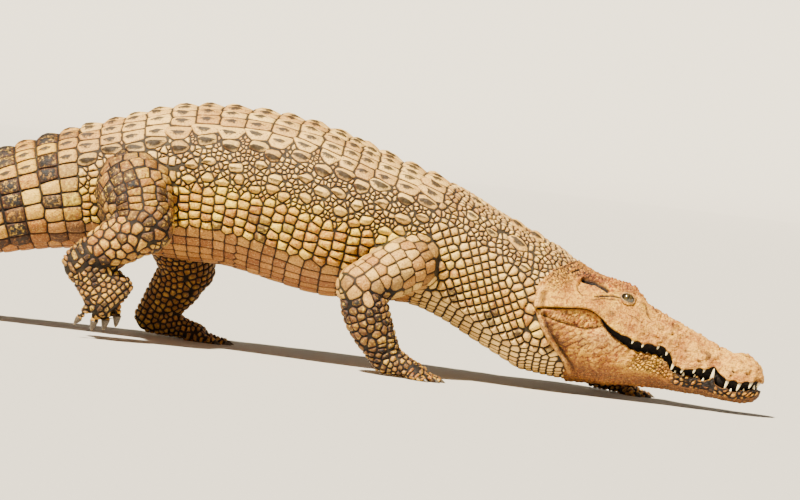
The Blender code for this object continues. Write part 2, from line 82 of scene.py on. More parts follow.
# Head profiles against h, the distance back from the snout tip along the head's axis.
TOP_LINE = mm(
    (0, 4), (15, 30), (45, 50), (75, 55), (110, 49), (160, 54), (220, 67), (300, 82), (360, 98),
    (410, 116), (450, 127), (490, 133), (530, 134), (600, 150), (660, 174)
)
MOUTH_LINE = mm(
    (0, -5), (22, -3), (47, -13), (75, -21), (104, -22), (127, -14), (142, -4), (160, -13), (185, -21),
    (214, -35), (237, -36), (258, -21), (275, -2), (300, 5), (333, -1), (367, -4), (398, -1), (427, 2),
    (453, 11), (477, 25), (515, 36), (578, 19), (615, 7), (660, -12)
)
CHIN_LINE = mm(
    (0, -40), (20, -62), (50, -74), (110, -81), (164, -89), (294, -114), (448, -156), (562, -180),
    (660, -190)
)
WIDTH_LINE = mm(
    (0, 20), (12, 40), (35, 57), (70, 66), (105, 65), (138, 55), (170, 71), (210, 83), (250, 84),
    (300, 94), (370, 119), (457, 150), (550, 176), (620, 188), (660, 186)
)
JAW_WIDTH_LINE = mm(
    (0, 16), (14, 36), (40, 52), (80, 60), (120, 66), (160, 60), (205, 65), (250, 68), (300, 78),
    (370, 102), (457, 137), (550, 170), (620, 188), (660, 186)
)
GAPE_LINE = mm(
    (0, 20), (34, 26), (75, 28), (104, 27), (127, 30), (142, 35), (160, 34), (185, 26), (214, 18),
    (237, 17), (258, 25), (275, 31), (300, 30), (333, 27), (367, 26), (392, 21), (423, 12), (455, 7),
    (472, 3), (482, -3), (660, -3)
)
# Where the head's hide ends and the neck's scales begin: height and h, from the throat to the nape.
BORDER = mm(
    (-200, 520), (-140, 530), (-120, 546), (-105, 566), (-80, 596), (-50, 628), (-20, 650), (10, 667),
    (41, 672), (65, 664), (113, 642), (147, 605), (175, 575)
)
# Each tooth's place along its jaw and its length.
UPPER_TEETH = mm(
    (12, 12), (31, 20), (60, 25), (94, 25), (165, 10), (190, 12), (222, 10), (250, 18), (277, 12),
    (305, 9), (346, 10), (375, 8)
)
LOWER_TEETH = mm(
    (20, 16), (45, 10), (78, 9), (138, 36), (160, 9), (185, 11), (216, 12), (240, 10), (290, 9), (330, 8)
)
# The lumps that scallop the lips: place, and how far each reaches over the gape.
UPPER_LUMPS = mm(
    (31, 4), (60, 6), (94, 6), (165, 4), (190, 3), (222, 4), (250, 5), (277, 4), (312, 5), (346, 5),
    (375, 4), (408, 3)
)
LOWER_LUMPS = mm(
    (20, 4), (52, 6), (90, 6), (136, 13), (177, 10), (205, 5), (232, 4), (268, 7), (287, 6), (306, 7),
    (325, 6), (345, 6), (366, 5), (388, 4)
)
EYE = (0.430, 0.086, 0.098)  # h, half spacing, height of an eyeball's centre
EYE_RADIUS = 0.022
BROW_HEIGHT = 0.022
TABLE_HALF_WIDTH = 0.088

# Limbs: x, y, z of the centre and radius at five places, of which the third is the elbow or knee.
LIMBS = {
    "right_fore": mm(
        (810, -100, 330, 80), (745, -250, 300, 80), (640, -340, 232, 67),
        (678, -342, 143, 64), (738, -338, 47, 45),
    ),
    "left_fore": mm(
        (860, 100, 300, 80), (960, 235, 255, 76), (1090, 320, 215, 62),
        (1200, 318, 138, 57), (1310, 300, 47, 43),
    ),
    "right_hind": mm(
        (-30, -60, 440, 110), (-12, -205, 405, 112), (35, -290, 322, 78),
        (-50, -305, 262, 66), (-130, -310, 198, 54),
    ),
    "left_hind": mm(
        (-10, 70, 430, 110), (70, 200, 325, 108), (112, 265, 205, 80),
        (70, 268, 130, 70), (18, 268, 52, 48),
    ),
}
# Each digit, thumb first: sideways place, turn outwards in degrees, length, radius, bend down.
FINGERS = [(1.0, -36, 0.072, 0.014, 8), (0.5, -16, 0.096, 0.015, 8), (0.0, 0, 0.104, 0.015, 8),
           (-0.5, 18, 0.096, 0.014, 8), (-1.0, 38, 0.074, 0.012, 8)]
TOES = [(0.9, -16, 0.115, 0.016, 6), (0.3, -4, 0.140, 0.017, 6), (-0.3, 8, 0.145, 0.017, 6),
        (-0.9, 20, 0.115, 0.014, 6)]
HANGING_TOES = [(0.82, 2, 0.136, 0.0190, 12), (0.30, 8, 0.126, 0.0195, 12), (-0.22, 16, 0.110, 0.0180, 12),
                (-0.70, 40, 0.092, 0.0150, 10)]
FLAT, UPRIGHT = (1.0, 0.0, 0.0), (0.0, 0.0, 1.0)
# Each paw: its digits, its side (-1 right), the ways its palm runs and its back faces, the palm's
# length, half width and half height, and the ways its digits run and their backs face.
PAWS = {
    "right_fore": (FINGERS, -1, (1, -0.08, -0.28), UPRIGHT, 0.095, 0.044, 0.022, FLAT, UPRIGHT),
    "left_fore": (FINGERS, 1, (1, 0.06, -0.28), UPRIGHT, 0.095, 0.044, 0.022, FLAT, UPRIGHT),
    "right_hind": (HANGING_TOES, -1, (0.76, -0.12, -0.60), (0.26, -0.85, 0.25), 0.122, 0.072, 0.034,
                   (0.20, -0.20, -1.0), (0.35, -1.0, 0.2)),
    "left_hind": (TOES, 1, (1, -0.02, -0.20), UPRIGHT, 0.145, 0.050, 0.026, FLAT, UPRIGHT),
}


# ---------------------------------------------------------------- small maths
def unit(v):
    """Each vector of an array, made one long."""
    return v / np.maximum(np.linalg.norm(v, axis=-1, keepdims=True), 1e-12)


def smooth(low, high, x):
    """0 below low, 1 above high, and t^2 (3 - 2 t) between them, t being the share of the way."""
    t = np.clip((x - low) / (high - low), 0, 1)
    return t * t * (3 - 2 * t)


def curve(knots, values, at, slope=None):
    """Hermite cubic through the knots: between two of them the cubic that has their values and
    slopes. Slopes that aren't given are those of the chord over each knot."""
    at = np.clip(at, knots[0], knots[-1])
    if slope is None:
        slope = np.gradient(values, knots, axis=0)
    i = np.clip(np.searchsorted(knots, at, side="right") - 1, 0, len(knots) - 2)
    step = knots[i + 1] - knots[i]
    t = (at - knots[i]) / step
    if values.ndim > 1:
        step, t = step[..., None], t[..., None]
    return (
        values[i] * (1 + 2 * t) * (1 - t) ** 2
        + values[i + 1] * t * t * (3 - 2 * t)
        + slope[i] * step * t * (1 - t) ** 2
        - slope[i + 1] * step * t * t * (1 - t)
    )


def line(table, h):
    """A head profile read at h. Its slopes are the harmonic means of the chords on both sides, and
    level at a peak, so that the curve overshoots no corner."""
    chord = np.diff(table[:, 1]) / np.diff(table[:, 0])
    before, after = chord[:-1], chord[1:]
    same = before * after > 0
    middle = np.where(same, 2 * before * after / np.where(same, before + after, 1), 0)
    return curve(table[:, 0], table[:, 1], h, np.concatenate([chord[:1], middle, chord[-1:]]))


def bump(x, centre, width):
    """A bell: e^-((x - centre) / width)^2."""
    return np.exp(-(((x - centre) / width) ** 2))


def lattice_noise(p, seed):
    """Smooth noise from -1 to 1: random values on a unit lattice, each weighed by the product of
    t^2 (3 - 2 t) along every axis, t being the place's share of the way across its cell."""
    cell = np.floor(p).astype(np.int64)
    t = p - cell
    t = t * t * (3 - 2 * t)
    total = np.zeros(p.shape[:-1])
    for corner in np.ndindex(*(2,) * p.shape[-1]):
        corner = np.array(corner)
        weight = np.prod(np.where(corner, t, 1 - t), axis=-1)
        total += weight * hashed(cell + corner, seed)
    return total * 2 - 1


def hashed(cell, seed):
    """A fixed random number from 0 to 1 for each whole-numbered lattice point."""
    key = np.full(cell.shape[:-1], seed * 374761393 + 1274126177, np.uint64)
    for axis in range(cell.shape[-1]):
        key = (key ^ (cell[..., axis].astype(np.uint64) * np.uint64(668265263))) * np.uint64(2246822519)
        key ^= key >> np.uint64(29)
    return (key % np.uint64(1 << 24)).astype(float) / (1 << 24)


def cracks(p, seed, jitter=0.85):
    """Worley cells on the plane: (distance to the nearest crack in cell widths, the cell's own
    random number). A crack runs where two cell centres are equally near."""
    base = np.floor(p).astype(np.int64)
    first = np.full(p.shape[:-1], 9.0)
    second = np.full(p.shape[:-1], 9.0)
    tone = np.zeros(p.shape[:-1])
    for dx in (-1, 0, 1):
        for dy in (-1, 0, 1):
            cell = base + np.array([dx, dy])
            centre = cell + 0.5 + jitter * (np.stack([hashed(cell, seed), hashed(cell, seed + 7)], -1) - 0.5)
            gap = np.linalg.norm(p - centre, axis=-1)
            nearer = gap < first
            second = np.where(nearer, first, np.minimum(second, gap))
            tone = np.where(nearer, hashed(cell, seed + 3), tone)
            first = np.where(nearer, gap, first)
    return (second - first) / 2, tone


# ---------------------------------------------------------------- meshes
def make_mesh(name, points, faces, material=None, attributes=None, uv=None):
    """A smooth mesh object from points in the animal's frame and an array or list of faces. What
    would reach through the floor is pressed flat on it."""
    mesh = bpy.data.meshes.new(name)
    points = np.asarray(points, float).reshape(-1, 3) + SHIFT
    points[:, 2] = np.maximum(points[:, 2], -0.0005)
    faces = [np.asarray(part) for part in (faces if isinstance(faces, list) else [faces])]
    mesh.vertices.add(len(points))
    mesh.vertices.foreach_set("co", points.ravel().astype(np.float32))
    corners = np.concatenate([part.ravel() for part in faces]).astype(np.int32)
    counts = np.concatenate([np.full(len(part), part.shape[1]) for part in faces])
    starts = (np.cumsum(counts) - counts).astype(np.int32)
    mesh.loops.add(len(corners))
    mesh.loops.foreach_set("vertex_index", corners)
    mesh.polygons.add(len(counts))
    mesh.polygons.foreach_set("loop_start", starts)
    mesh.update(calc_edges=True)
    for key, values in (attributes or {}).items():
        layer = mesh.attributes.new(key, "FLOAT", "POINT")
        layer.data.foreach_set("value", np.asarray(values, np.float32).ravel())
    if uv is not None:
        layer = mesh.uv_layers.new(name="OFBake")
        layer.data.foreach_set("uv", np.asarray(uv, np.float32)[corners].ravel())
    if material:
        mesh.materials.append(material)
    mesh.shade_smooth()
    obj = bpy.data.objects.new(name, mesh)
    bpy.context.scene.collection.objects.link(obj)
    return obj


def grid_faces(rows, columns, closed=False):
    """Quads of a grid of points, the columns joined into a ring when closed."""
    index = np.arange(rows * columns).reshape(rows, columns)
    right = np.roll(index, -1, 1) if closed else index[:, 1:]
    here = index if closed else index[:, :-1]
    return np.stack([here[:-1], right[:-1], right[1:], here[1:]], -1).reshape(-1, 4)


def closed_tube(grid):
    """Points and faces of a ring-by-ring tube whose two ends are drawn to a point."""
    rows, around = grid.shape[:2]
    points = np.concatenate([grid.reshape(-1, 3), grid[0].mean(0)[None], grid[-1].mean(0)[None]])
    ring = np.arange(around)
    after = np.roll(ring, -1)
    first, last = rows * around, rows * around + 1
    caps = [
        np.stack([np.full(around, first), after, ring], -1),
        np.stack([np.full(around, last), ring + first - around, after + first - around], -1),
    ]
    return points, [grid_faces(rows, around, True), *caps]


def joined(grids, flipped=False):
    """Points and faces of many closed tubes as one mesh, its faces turned over when flipped."""
    points, faces, start = [], [], 0
    for grid in grids:
        tube, parts = closed_tube(grid)
        points.append(tube)
        faces += [(part[:, ::-1] if flipped else part) + start for part in parts]
        start += len(tube)
    corners = [np.concatenate([part for part in faces if part.shape[1] == count]) for count in (4, 3)]
    return np.concatenate(points), corners


def with_ends(values, first, last):
    """Values of a closed tube's points: those of its grid, then those of its two ends."""
    return np.concatenate([np.ravel(values), [first, last]])


def points_of(mesh):
    """A mesh's points in the animal's frame."""
    points = np.empty(len(mesh.vertices) * 3, np.float32)
    mesh.vertices.foreach_get("co", points)
    return points.reshape(-1, 3) - SHIFT


def apply_modifiers(obj):
    """Keeps an object's evaluated mesh and drops its modifiers."""
    graph = bpy.context.evaluated_depsgraph_get()
    mesh = bpy.data.meshes.new_from_object(obj.evaluated_get(graph))
    obj.modifiers.clear()
    obj.data = mesh


# ---------------------------------------------------------------- the head's own frame
# The ways the head's axis points, from the nape to the snout, and its left and top face.
HEAD_WAY = np.array([
    math.cos(HEAD_PITCH) * math.cos(HEAD_TURN), -math.cos(HEAD_PITCH) * math.sin(HEAD_TURN),
    -math.sin(HEAD_PITCH),
])
HEAD_LEFT = np.array([math.sin(HEAD_TURN), math.cos(HEAD_TURN), 0.0])
HEAD_UP = np.cross(HEAD_WAY, HEAD_LEFT)


def head_point(h, y, z):
    """From the head's own frame, back from the snout tip, left and up, to the animal's."""
    h, y, z = (part[..., None] for part in np.broadcast_arrays(h, y, z))
    return SNOUT_TIP - h * HEAD_WAY + y * HEAD_LEFT + z * HEAD_UP


# ---------------------------------------------------------------- charts: tubes unrolled
class Chart:
    """A tube unrolled. Its grid holds rings of points spaced evenly round the girth, each from the
    under line over the right side, the top and the left side to the under line again. Its
    coordinates are s, metres along the middle, and f, a share of the half girth: 0 on the top line,
    1 and -1 on the under line, negative on the right."""

    HALF = 48  # spaces of the grid from the under line to the top

    def __init__(self, rings, name, spacing=0.010):
        """Rings resampled: first evenly along the middle line, then each evenly round its girth."""
        middle = rings.mean(1)
        run = np.concatenate([[0], np.cumsum(np.linalg.norm(np.diff(middle, axis=0), axis=1))])
        at = np.linspace(0, run[-1], max(8, int(run[-1] / spacing) + 1))
        flat = rings.reshape(len(run), -1)
        rings = np.stack([np.interp(at, run, column) for column in flat.T], -1).reshape(len(at), -1, 3)
        step = np.linalg.norm(np.diff(rings, axis=1), axis=2)
        arc = np.concatenate([np.zeros((len(at), 1)), np.cumsum(step, axis=1)], axis=1)
        share = np.linspace(0, 1, 2 * self.HALF + 1)
        self.grid = np.stack([
            np.stack([np.interp(share * row[-1], row, column) for column in ring.T], -1)
            for row, ring in zip(arc, rings)
        ])
        self.name, self.length, self.half_girth = name, run[-1], arc[:, -1] / 2
        self.middle, self.at = self.grid[:, :-1].mean(1), at

    def girth(self, s):
        """Half the girth at s."""
        return np.interp(s, self.at, self.half_girth)

    def s_at_x(self, x):
        """Where along the tube its middle passes x."""
        return np.interp(x, self.middle[:, 0], self.at)

    def place(self, s, f):
        """The point of the tube's surface at s and f."""
        rows, columns = self.grid.shape[:2]
        i = np.clip(np.asarray(s) / self.length * (rows - 1), 0, rows - 1.001)
        j = (np.mod(np.asarray(f) + 1, 2) / 2) * (columns - 1)
        i0, j0 = i.astype(int), np.minimum(j.astype(int), columns - 2)
        u, w = (i - i0)[..., None], (j - j0)[..., None]
        near = self.grid[i0, j0] * (1 - w) + self.grid[i0, j0 + 1] * w
        far = self.grid[i0 + 1, j0] * (1 - w) + self.grid[i0 + 1, j0 + 1] * w
        return near * (1 - u) + far * u


def superellipse(angle, above, below):
    """Sideways and upward reach of a squarish ring at an angle from its top: |sin|^(2/n) and
    |cos|^(2/n) with their signs, n being above in the upper half and below in the lower."""
    across, height = np.sin(angle), np.cos(angle)
    power = np.where(height > 0, above, below)
    return (
        np.sign(across) * np.abs(across) ** (2 / power),
        np.sign(height) * np.abs(height) ** (2 / power),
    )


def rings_along(centre, side, up, half_width, half_height, above=2.0, below=2.0, narrowing=0.0):
    """Rings of a tube: each is a superellipse in the plane of side and up, starting underneath and
    going up the right side. Narrowing draws its top in and lets its foot out."""
    angle = np.linspace(-math.pi, math.pi, 97)
    across, height = superellipse(angle, above, below)
    narrowing = np.broadcast_to(narrowing, len(centre))[:, None]
    y = across * half_width[:, None] * (1 - narrowing * height)
    z = height * half_height[:, None]
    return centre[:, None] + y[..., None] * side[:, None] + z[..., None] * up[:, None]


def body_rings(inset):
    """Rings of the body from the tail tip to the nape, square to its centre line."""
    nape = head_point(np.array(HEAD_LENGTH), 0, NAPE_LEVEL)
    table = np.array([*BODY, (*nape, NAPE_WIDTH, NAPE_HEIGHT)])
    x = np.linspace(table[0, 0], table[-1, 0], 420)
    values = curve(table[:, 0], table[:, 1:], x)
    centre = np.column_stack([x, values[:, :2]])
    share = np.clip((x - 0.96) / 0.14, 0, 1)[:, None]
    forward = unit(unit(np.gradient(centre, axis=0)) * (1 - share) + HEAD_WAY * share)
    side = unit(np.cross([0.0, 0.0, 1.0], forward))
    inset = np.minimum(inset, values[:, 2] * 0.3)
    tail = np.clip((-0.25 - x) / 0.6, 0, 1)
    return rings_along(
        centre, side, np.cross(forward, side), values[:, 2] - inset, values[:, 3] - inset,
        2.15, 2.45, 0.20 * tail,
    )


def limb_rings(points, inset):
    """Rings of one length of a limb, drawn in by 14 % where it starts, and ended by a round dome."""
    t = np.linspace(0, 1, 60)
    values = curve(np.linspace(0, 1, len(points)), points, t)
    centre, radius = values[:, :3], values[:, 3] - inset
    forward = unit(np.gradient(centre, axis=0))
    radius = radius * (0.86 + 0.14 * np.minimum(1, 3.5 * t))
    turn = np.radians(np.linspace(8, 84, 12))
    centre = np.concatenate([centre, centre[-1] + forward[-1] * radius[-1] * np.sin(turn)[:, None]])
    forward = np.concatenate([forward, np.repeat(forward[-1:], 12, 0)])
    radius = np.concatenate([radius, radius[-1] * np.cos(turn)])
    side = unit(np.cross(forward, [0.15, 0.0, 1.0]))
    return rings_along(centre, side, np.cross(side, forward), radius, radius)


def turned(v, axis, angle):
    """A vector turned about an axis: v cos + (axis x v) sin + axis (axis . v) (1 - cos)."""
    axis, across = unit(np.asarray(axis, float)), 1 - math.cos(angle)
    return v * math.cos(angle) + np.cross(axis, v) * math.sin(angle) + axis * (axis @ v) * across


def digit_line(base, forward, up, length, bend, end):
    """Points of a digit's middle as far as share end of its length, with the ways it runs and its
    back faces and each point's share: it curls down by 2.2 times its bend, evenly."""
    side = np.cross(up, forward)
    shares = np.linspace(0, end, 40)
    angle = np.radians(bend) * shares * 2.2
    ways = np.stack([turned(forward, side, a) for a in angle])
    backs = np.stack([turned(up, side, a) for a in angle])
    steps = ways[1:] * np.diff(shares)[:, None] * length
    points = base + np.concatenate([np.zeros((1, 3)), np.cumsum(steps, axis=0)])
    return points, ways, backs, shares


class Paw:
    """A paw's frame: where its palm starts, the ways it faces, and its digits' lines."""

    def __init__(self, limb):
        """The palm starts at the limb's last place, and the digits at 0.8 of its length, side by side
        over 0.8 of its width. Those of a paw that stands lie on the floor."""
        digits, hand, forward, up, length, half_width, half_height, ahead, over = PAWS[limb]
        self.wrist, self.radius = LIMBS[limb][-1, :3], LIMBS[limb][-1, 3]
        self.forward = unit(np.array(forward, float))
        self.side = unit(np.cross(np.array(up, float), self.forward))
        self.up = np.cross(self.forward, self.side)
        self.length, self.half_width, self.half_height = length, half_width, half_height
        ahead, over = unit(np.array(ahead, float)), np.array(over, float)
        over = unit(over - ahead * (over @ ahead))
        self.digits = []
        for place, turn, size, thick, bend in digits:
            base = self.wrist + self.forward * (length * 0.80)
            base = base - self.side * (place * half_width * 0.80 * hand)
            if limb != "right_hind":
                base[2] = thick * 0.72
            way = turned(ahead, over, math.radians(turn * hand))
            self.digits.append((base, way, over, size, thick, bend))

    def palm_rings(self, inset):
        """Rings of the palm: an oval lobe that flattens from the wrist to the knuckles."""
        t = np.linspace(0, 1, 24)
        ease = smooth(0, 1, t)
        wide = self.radius * 0.88 * (1 - ease) + self.half_width * ease - inset
        high = self.radius * 0.88 * (1 - ease) + self.half_height * ease - inset
        end = np.radians(np.linspace(15, 80, 6))
        wide = np.concatenate([wide, wide[-1] - high[-1] * (1 - np.cos(end))])
        high = np.concatenate([high, high[-1] * np.cos(end)])
        run = np.concatenate([t * self.length, self.length + (self.half_height - inset) * np.sin(end)])
        centre = self.wrist + run[:, None] * self.forward
        side = np.repeat(self.side[None], len(run), 0)
        return rings_along(centre, side, np.repeat(self.up[None], len(run), 0), wide, high, 2.3, 2.3)

    def digit_rings(self, digit, inset, across):
        """Rings of one digit as far as its claw. It narrows by a third of its length's share, and
        swells at each of its joints with a cosine."""
        base, way, over, size, thick, bend = digit
        points, ways, backs, t = digit_line(base, way, over, size, bend, 0.84)
        swell = 1 + 0.12 * np.cos(t * 2 * math.pi * 2.5)
        radius = np.maximum(thick * (1 - 0.35 * t) * swell - inset, 0.004)
        radius = radius * np.sqrt(1 - smooth(0.74, 0.86, t) * 0.75)
        side = unit(np.cross(backs, ways))
        return rings_along(points, side, backs, radius * across, radius * 0.95)


SHIFT = np.array((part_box("right_eye")[0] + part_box("right_eye")[1]) / 2) - head_point(
    np.array(EYE[0]), -EYE[1], EYE[2]
)
PAW_FRAMES = {limb: Paw(limb) for limb in PAWS}


# ---------------------------------------------------------------- the head's shape
def lumps(h, table):
    """Height of a lip's lumps at h: the sum of a bell at each, 7.8 mm wide."""
    return sum(high * bump(h, place, 0.0078) for place, high in table)


def behind_border(h, z):
    """How far a place on the head's side lies behind the rear edge of its hide."""
    return h - np.interp(z, *BORDER.T)


def roof(h, across):
    """Height of the upper head at sideways share across: a rounded snout that widens into cheeks,
    with the flat skull table, the brows and the nostrils' disc standing on them."""
    top, mouth, width = line(TOP_LINE, h), line(MOUTH_LINE, h), line(WIDTH_LINE, h)
    back = smooth(0.33, 0.46, h)
    y = np.abs(across) * width
    snout = (1 - np.abs(across) ** 2.3) ** (1 / 2.3)
    cheek = (1 - np.abs(across) ** 2.6) ** (1 / 2.6)
    table = 1 / (1 + (y / (TABLE_HALF_WIDTH + 0.012)) ** 8)
    flat = 0.40 * np.clip((0.66 - h) / 0.08, 0, 1)
    shape = snout * (1 - back) + back * ((1 - flat) * cheek + flat * table)
    brow = BROW_HEIGHT * bump(h, EYE[0], 0.040) * bump(y, EYE[1] - 0.006, 0.026)
    hollow = 0.010 * bump(h, EYE[0], 0.05) * bump(y, 0, 0.035)
    nostrils = 0.008 * bump(h, 0.066, 0.022) * bump(y, 0.018, 0.016)
    return mouth + (top - mouth) * shape + brow - hollow + nostrils


def upper_ring(h, over, under):
    """Rings of the upper head at each h: over the roof from right to left, then back along the
    palate. The counts of points are given; the roof's are set close at the lips."""
    width, mouth, top = line(WIDTH_LINE, h), line(MOUTH_LINE, h), line(TOP_LINE, h)
    across = np.sin(np.linspace(-0.5, 0.5, over) * math.pi)[None]
    palate = np.linspace(1, -1, under + 2)[None, 1:-1]
    y = np.concatenate([across * width[:, None], palate * width[:, None]], axis=1)
    lip = (mouth + 0.05 * (top - mouth) + 0.002 - 1.5 * lumps(h, UPPER_LUMPS))[:, None]
    z_over = np.maximum(roof(h[:, None], across), lip)
    z_under = mouth[:, None] + 0.002 + (lip - mouth[:, None] - 0.001) * palate**10
    return y, np.concatenate([z_over, z_under], axis=1)


def lower_ring(h, over, under):
    """Rings of the lower jaw at each h: along its flat top from right to left, then back round its
    rounded underside."""
    width, chin = line(JAW_WIDTH_LINE, h)[:, None], line(CHIN_LINE, h)[:, None]
    top = (line(MOUTH_LINE, h) - line(GAPE_LINE, h))[:, None]
    flat = np.linspace(-1, 1, over)[None]
    angle = np.linspace(0, math.pi, under + 2)[None, 1:-1]
    lump = lumps(h, LOWER_LUMPS)[:, None]
    y = np.concatenate([flat * width, np.cos(angle) * width], axis=1)
    z = np.concatenate([
        top + lump * flat**10, top + lump * np.cos(angle) ** 10 + (chin - top) * np.sin(angle) ** 0.80,
    ], axis=1)
    return y, z


def head_core(h):
    """Rings of the flesh inside the head: the outline of the shut jaws, drawn in by the hide's depth
    behind the hide's edge and by more in front of it, so that only darkness shows in the gape."""
    quarter = np.linspace(0, math.pi / 2, 25)
    across = np.sin(np.linspace(-0.5, 0.5, 49) * math.pi)[None, 1:-1]
    angle = np.concatenate([quarter + math.pi / 2, quarter])[None]
    width, chin = line(JAW_WIDTH_LINE, h)[:, None], line(CHIN_LINE, h)[:, None]
    mouth = line(MOUTH_LINE, h)[:, None]
    y_low, z_low = np.cos(angle) * width, mouth + (chin - mouth) * np.sin(angle) ** 0.80
    y_top, z_top = across * line(WIDTH_LINE, h)[:, None], roof(h[:, None], across)
    y = np.concatenate([y_low[:, :25], y_top, y_low[:, 25:]], axis=1)
    z = np.concatenate([z_low[:, :25], z_top, z_low[:, 25:]], axis=1)
    middle = (z.max(1) + z.min(1))[:, None] / 2
    depth = 0.0055 + 0.013 * (1 - smooth(-0.030, -0.008, behind_border(h[:, None], z)))
    left = np.maximum(1 - depth / np.maximum(np.hypot(y, z - middle), 1e-6), 0.10)
    return head_point(h[:, None], y * left, middle + (z - middle) * left)


# ---------------------------------------------------------------- the skin
def charts_of(inset):
    """Every tube of flesh unrolled: the body, both lengths of each limb, and its palm and digits."""
    charts = {"body": Chart(body_rings(inset), "body")}
    for limb, places in LIMBS.items():
        paw = PAW_FRAMES[limb]
        charts[f"{limb}_upper"] = Chart(limb_rings(places[:3], inset), f"{limb}_upper")
        charts[f"{limb}_lower"] = Chart(limb_rings(places[2:], inset), f"{limb}_lower")
        charts[f"{limb}_palm"] = Chart(paw.palm_rings(inset * 0.5), f"{limb}_palm", 0.005)
        for i, digit in enumerate(paw.digits):
            name = f"{limb}_digit_{i + 1}"
            hanging = limb == "right_hind"
            thinner, across = (0.0030, 0.78) if hanging else (0.0, 1.1)
            rings = paw.digit_rings(digit, thinner, across)
            charts[name] = Chart(rings, name, 0.004)
    charts["crown"] = Chart(head_core(np.linspace(HEAD_LENGTH, 0.50, 40)), "crown", 0.005)
    return charts


def make_skin(charts):
    """One closed skin: all the tubes and a core for the head, grown together by a voxel remesh and
    then relaxed, so that each joint gets a fillet of flesh."""
    core = head_core(np.linspace(HEAD_LENGTH, 0.012, 110))
    tubes = [chart.grid for name, chart in charts.items() if name != "crown"] + [core]
    skin = make_mesh("skin", *joined([grid[:, :-1] for grid in tubes]))
    grow = skin.modifiers.new("grown together", "REMESH")
    grow.mode, grow.voxel_size, grow.use_smooth_shade = "VOXEL", SKIN_VOXEL, True
    apply_modifiers(skin)
    points = points_of(skin.data)
    # The paws, whose digits are thin, are relaxed least.
    middles = [paw.wrist + paw.forward * 0.06 for paw in PAW_FRAMES.values()]
    middles += [digit[0] + digit[1] * digit[3] * 0.6 for paw in PAW_FRAMES.values() for digit in paw.digits]
    paw = np.min([np.linalg.norm(points - middle, axis=1) for middle in middles], 0)
    group = skin.vertex_groups.new(name="relaxed")
    for share in (0.25, 0.5, 0.75, 1.0):
        some = np.flatnonzero(np.ceil(np.clip(smooth(0.075, 0.130, paw), 0.01, 1) * 4) / 4 == share)
        group.add(some.tolist(), share if share > 0.25 else 0.08, "REPLACE")
    relax = skin.modifiers.new("relaxed", "SMOOTH")
    relax.factor, relax.iterations, relax.vertex_group = 0.5, 7, "relaxed"
    apply_modifiers(skin)
    skin.data.shade_smooth()
    return skin


def on_surface(points, target):
    """The nearest points of a surface, and the way its smooth normal faces there."""
    probe = make_mesh("probe", points, np.zeros((0, 3), int))
    found = []
    for mode, offset in (("ON_SURFACE", 0.0), ("ABOVE_SURFACE", 0.01)):
        probe.modifiers.clear()
        wrap = probe.modifiers.new("wrap", "SHRINKWRAP")
        wrap.target, wrap.wrap_mode, wrap.offset = target, mode, offset
        bpy.context.view_layer.update()
        graph = bpy.context.evaluated_depsgraph_get()
        found.append(points_of(probe.evaluated_get(graph).to_mesh()))
    bpy.data.objects.remove(probe)
    return found[0], unit(found[1] - found[0])


# ---------------------------------------------------------------- lattices of scales
# Each scale is a row of these columns.
# s, f: place on the chart. Sizes in metres. round: how far over its oval the scale may grow.
COLUMNS = ("s", "f", "half_length", "half_width", "dome", "keel", "round", "chart", "kind", "rank")


def lattice(chart, spans, rows, across, stagger=0.5, jitter=0.12, size=1.0, **shape):
    """Scales in rows across a chart. spans is (s0, s1, f0, f1), rows the rows' spacing and across
    the scales' spacing in a row, in metres; each row holds a whole number, every other row is
    shifted by stagger of a space, and the places are shaken by jitter of a space."""
    s0, s1, f0, f1 = spans
    count = max(1, round((s1 - s0) / rows))
    line_s = s0 + (np.arange(count) + 0.5) * (s1 - s0) / count
    number = np.maximum(1, np.round(chart.girth(line_s) * (f1 - f0) / across)).astype(int)
    row = np.repeat(np.arange(count), number)
    place = np.arange(number.sum()) - np.repeat(np.cumsum(number) - number, number)
    shift = 0.5 + (row % 2 - 0.5) * stagger
    f = f0 + (place + shift) / number[row] * (f1 - f0)
    shake = jitter * (RANDOM.random((len(row), 2)) - 0.5)
    step = (s1 - s0) / count
    s = line_s[row] + shake[:, 0] * step
    f = f + shake[:, 1] * across / chart.girth(s)
    made = {
        "s": s, "f": f, "chart": CHART_NAMES.index(chart.name),
        "half_length": step / 2 * size, "half_width": across / 2 * size,
        "dome": 0.0015, "keel": 0.0, "round": 1.25, "kind": 0, "rank": 0, **shape,
    }
    return np.stack([np.broadcast_to(np.asarray(made[key], float), len(s)) for key in COLUMNS], -1)


def scatter(chart, spans, spacing, **shape):
    """Small scales strewn in the gaps: a fine shaken lattice, of which thin() keeps what fits."""
    return lattice(chart, spans, spacing, spacing, jitter=0.9, **{"rank": 1, "round": 1.1, **shape})


NEARBY = 0.09  # how far along the body a scale's neighbours are looked for
APART = 9.0  # a distance that counts as out of reach
SHARPNESS = 22.0  # of the smooth minimum that bounds a scale
CROWDING = 0.72  # share of their two ovals' reach that two scales keep apart
FILLER = 5  # the rank of fillers


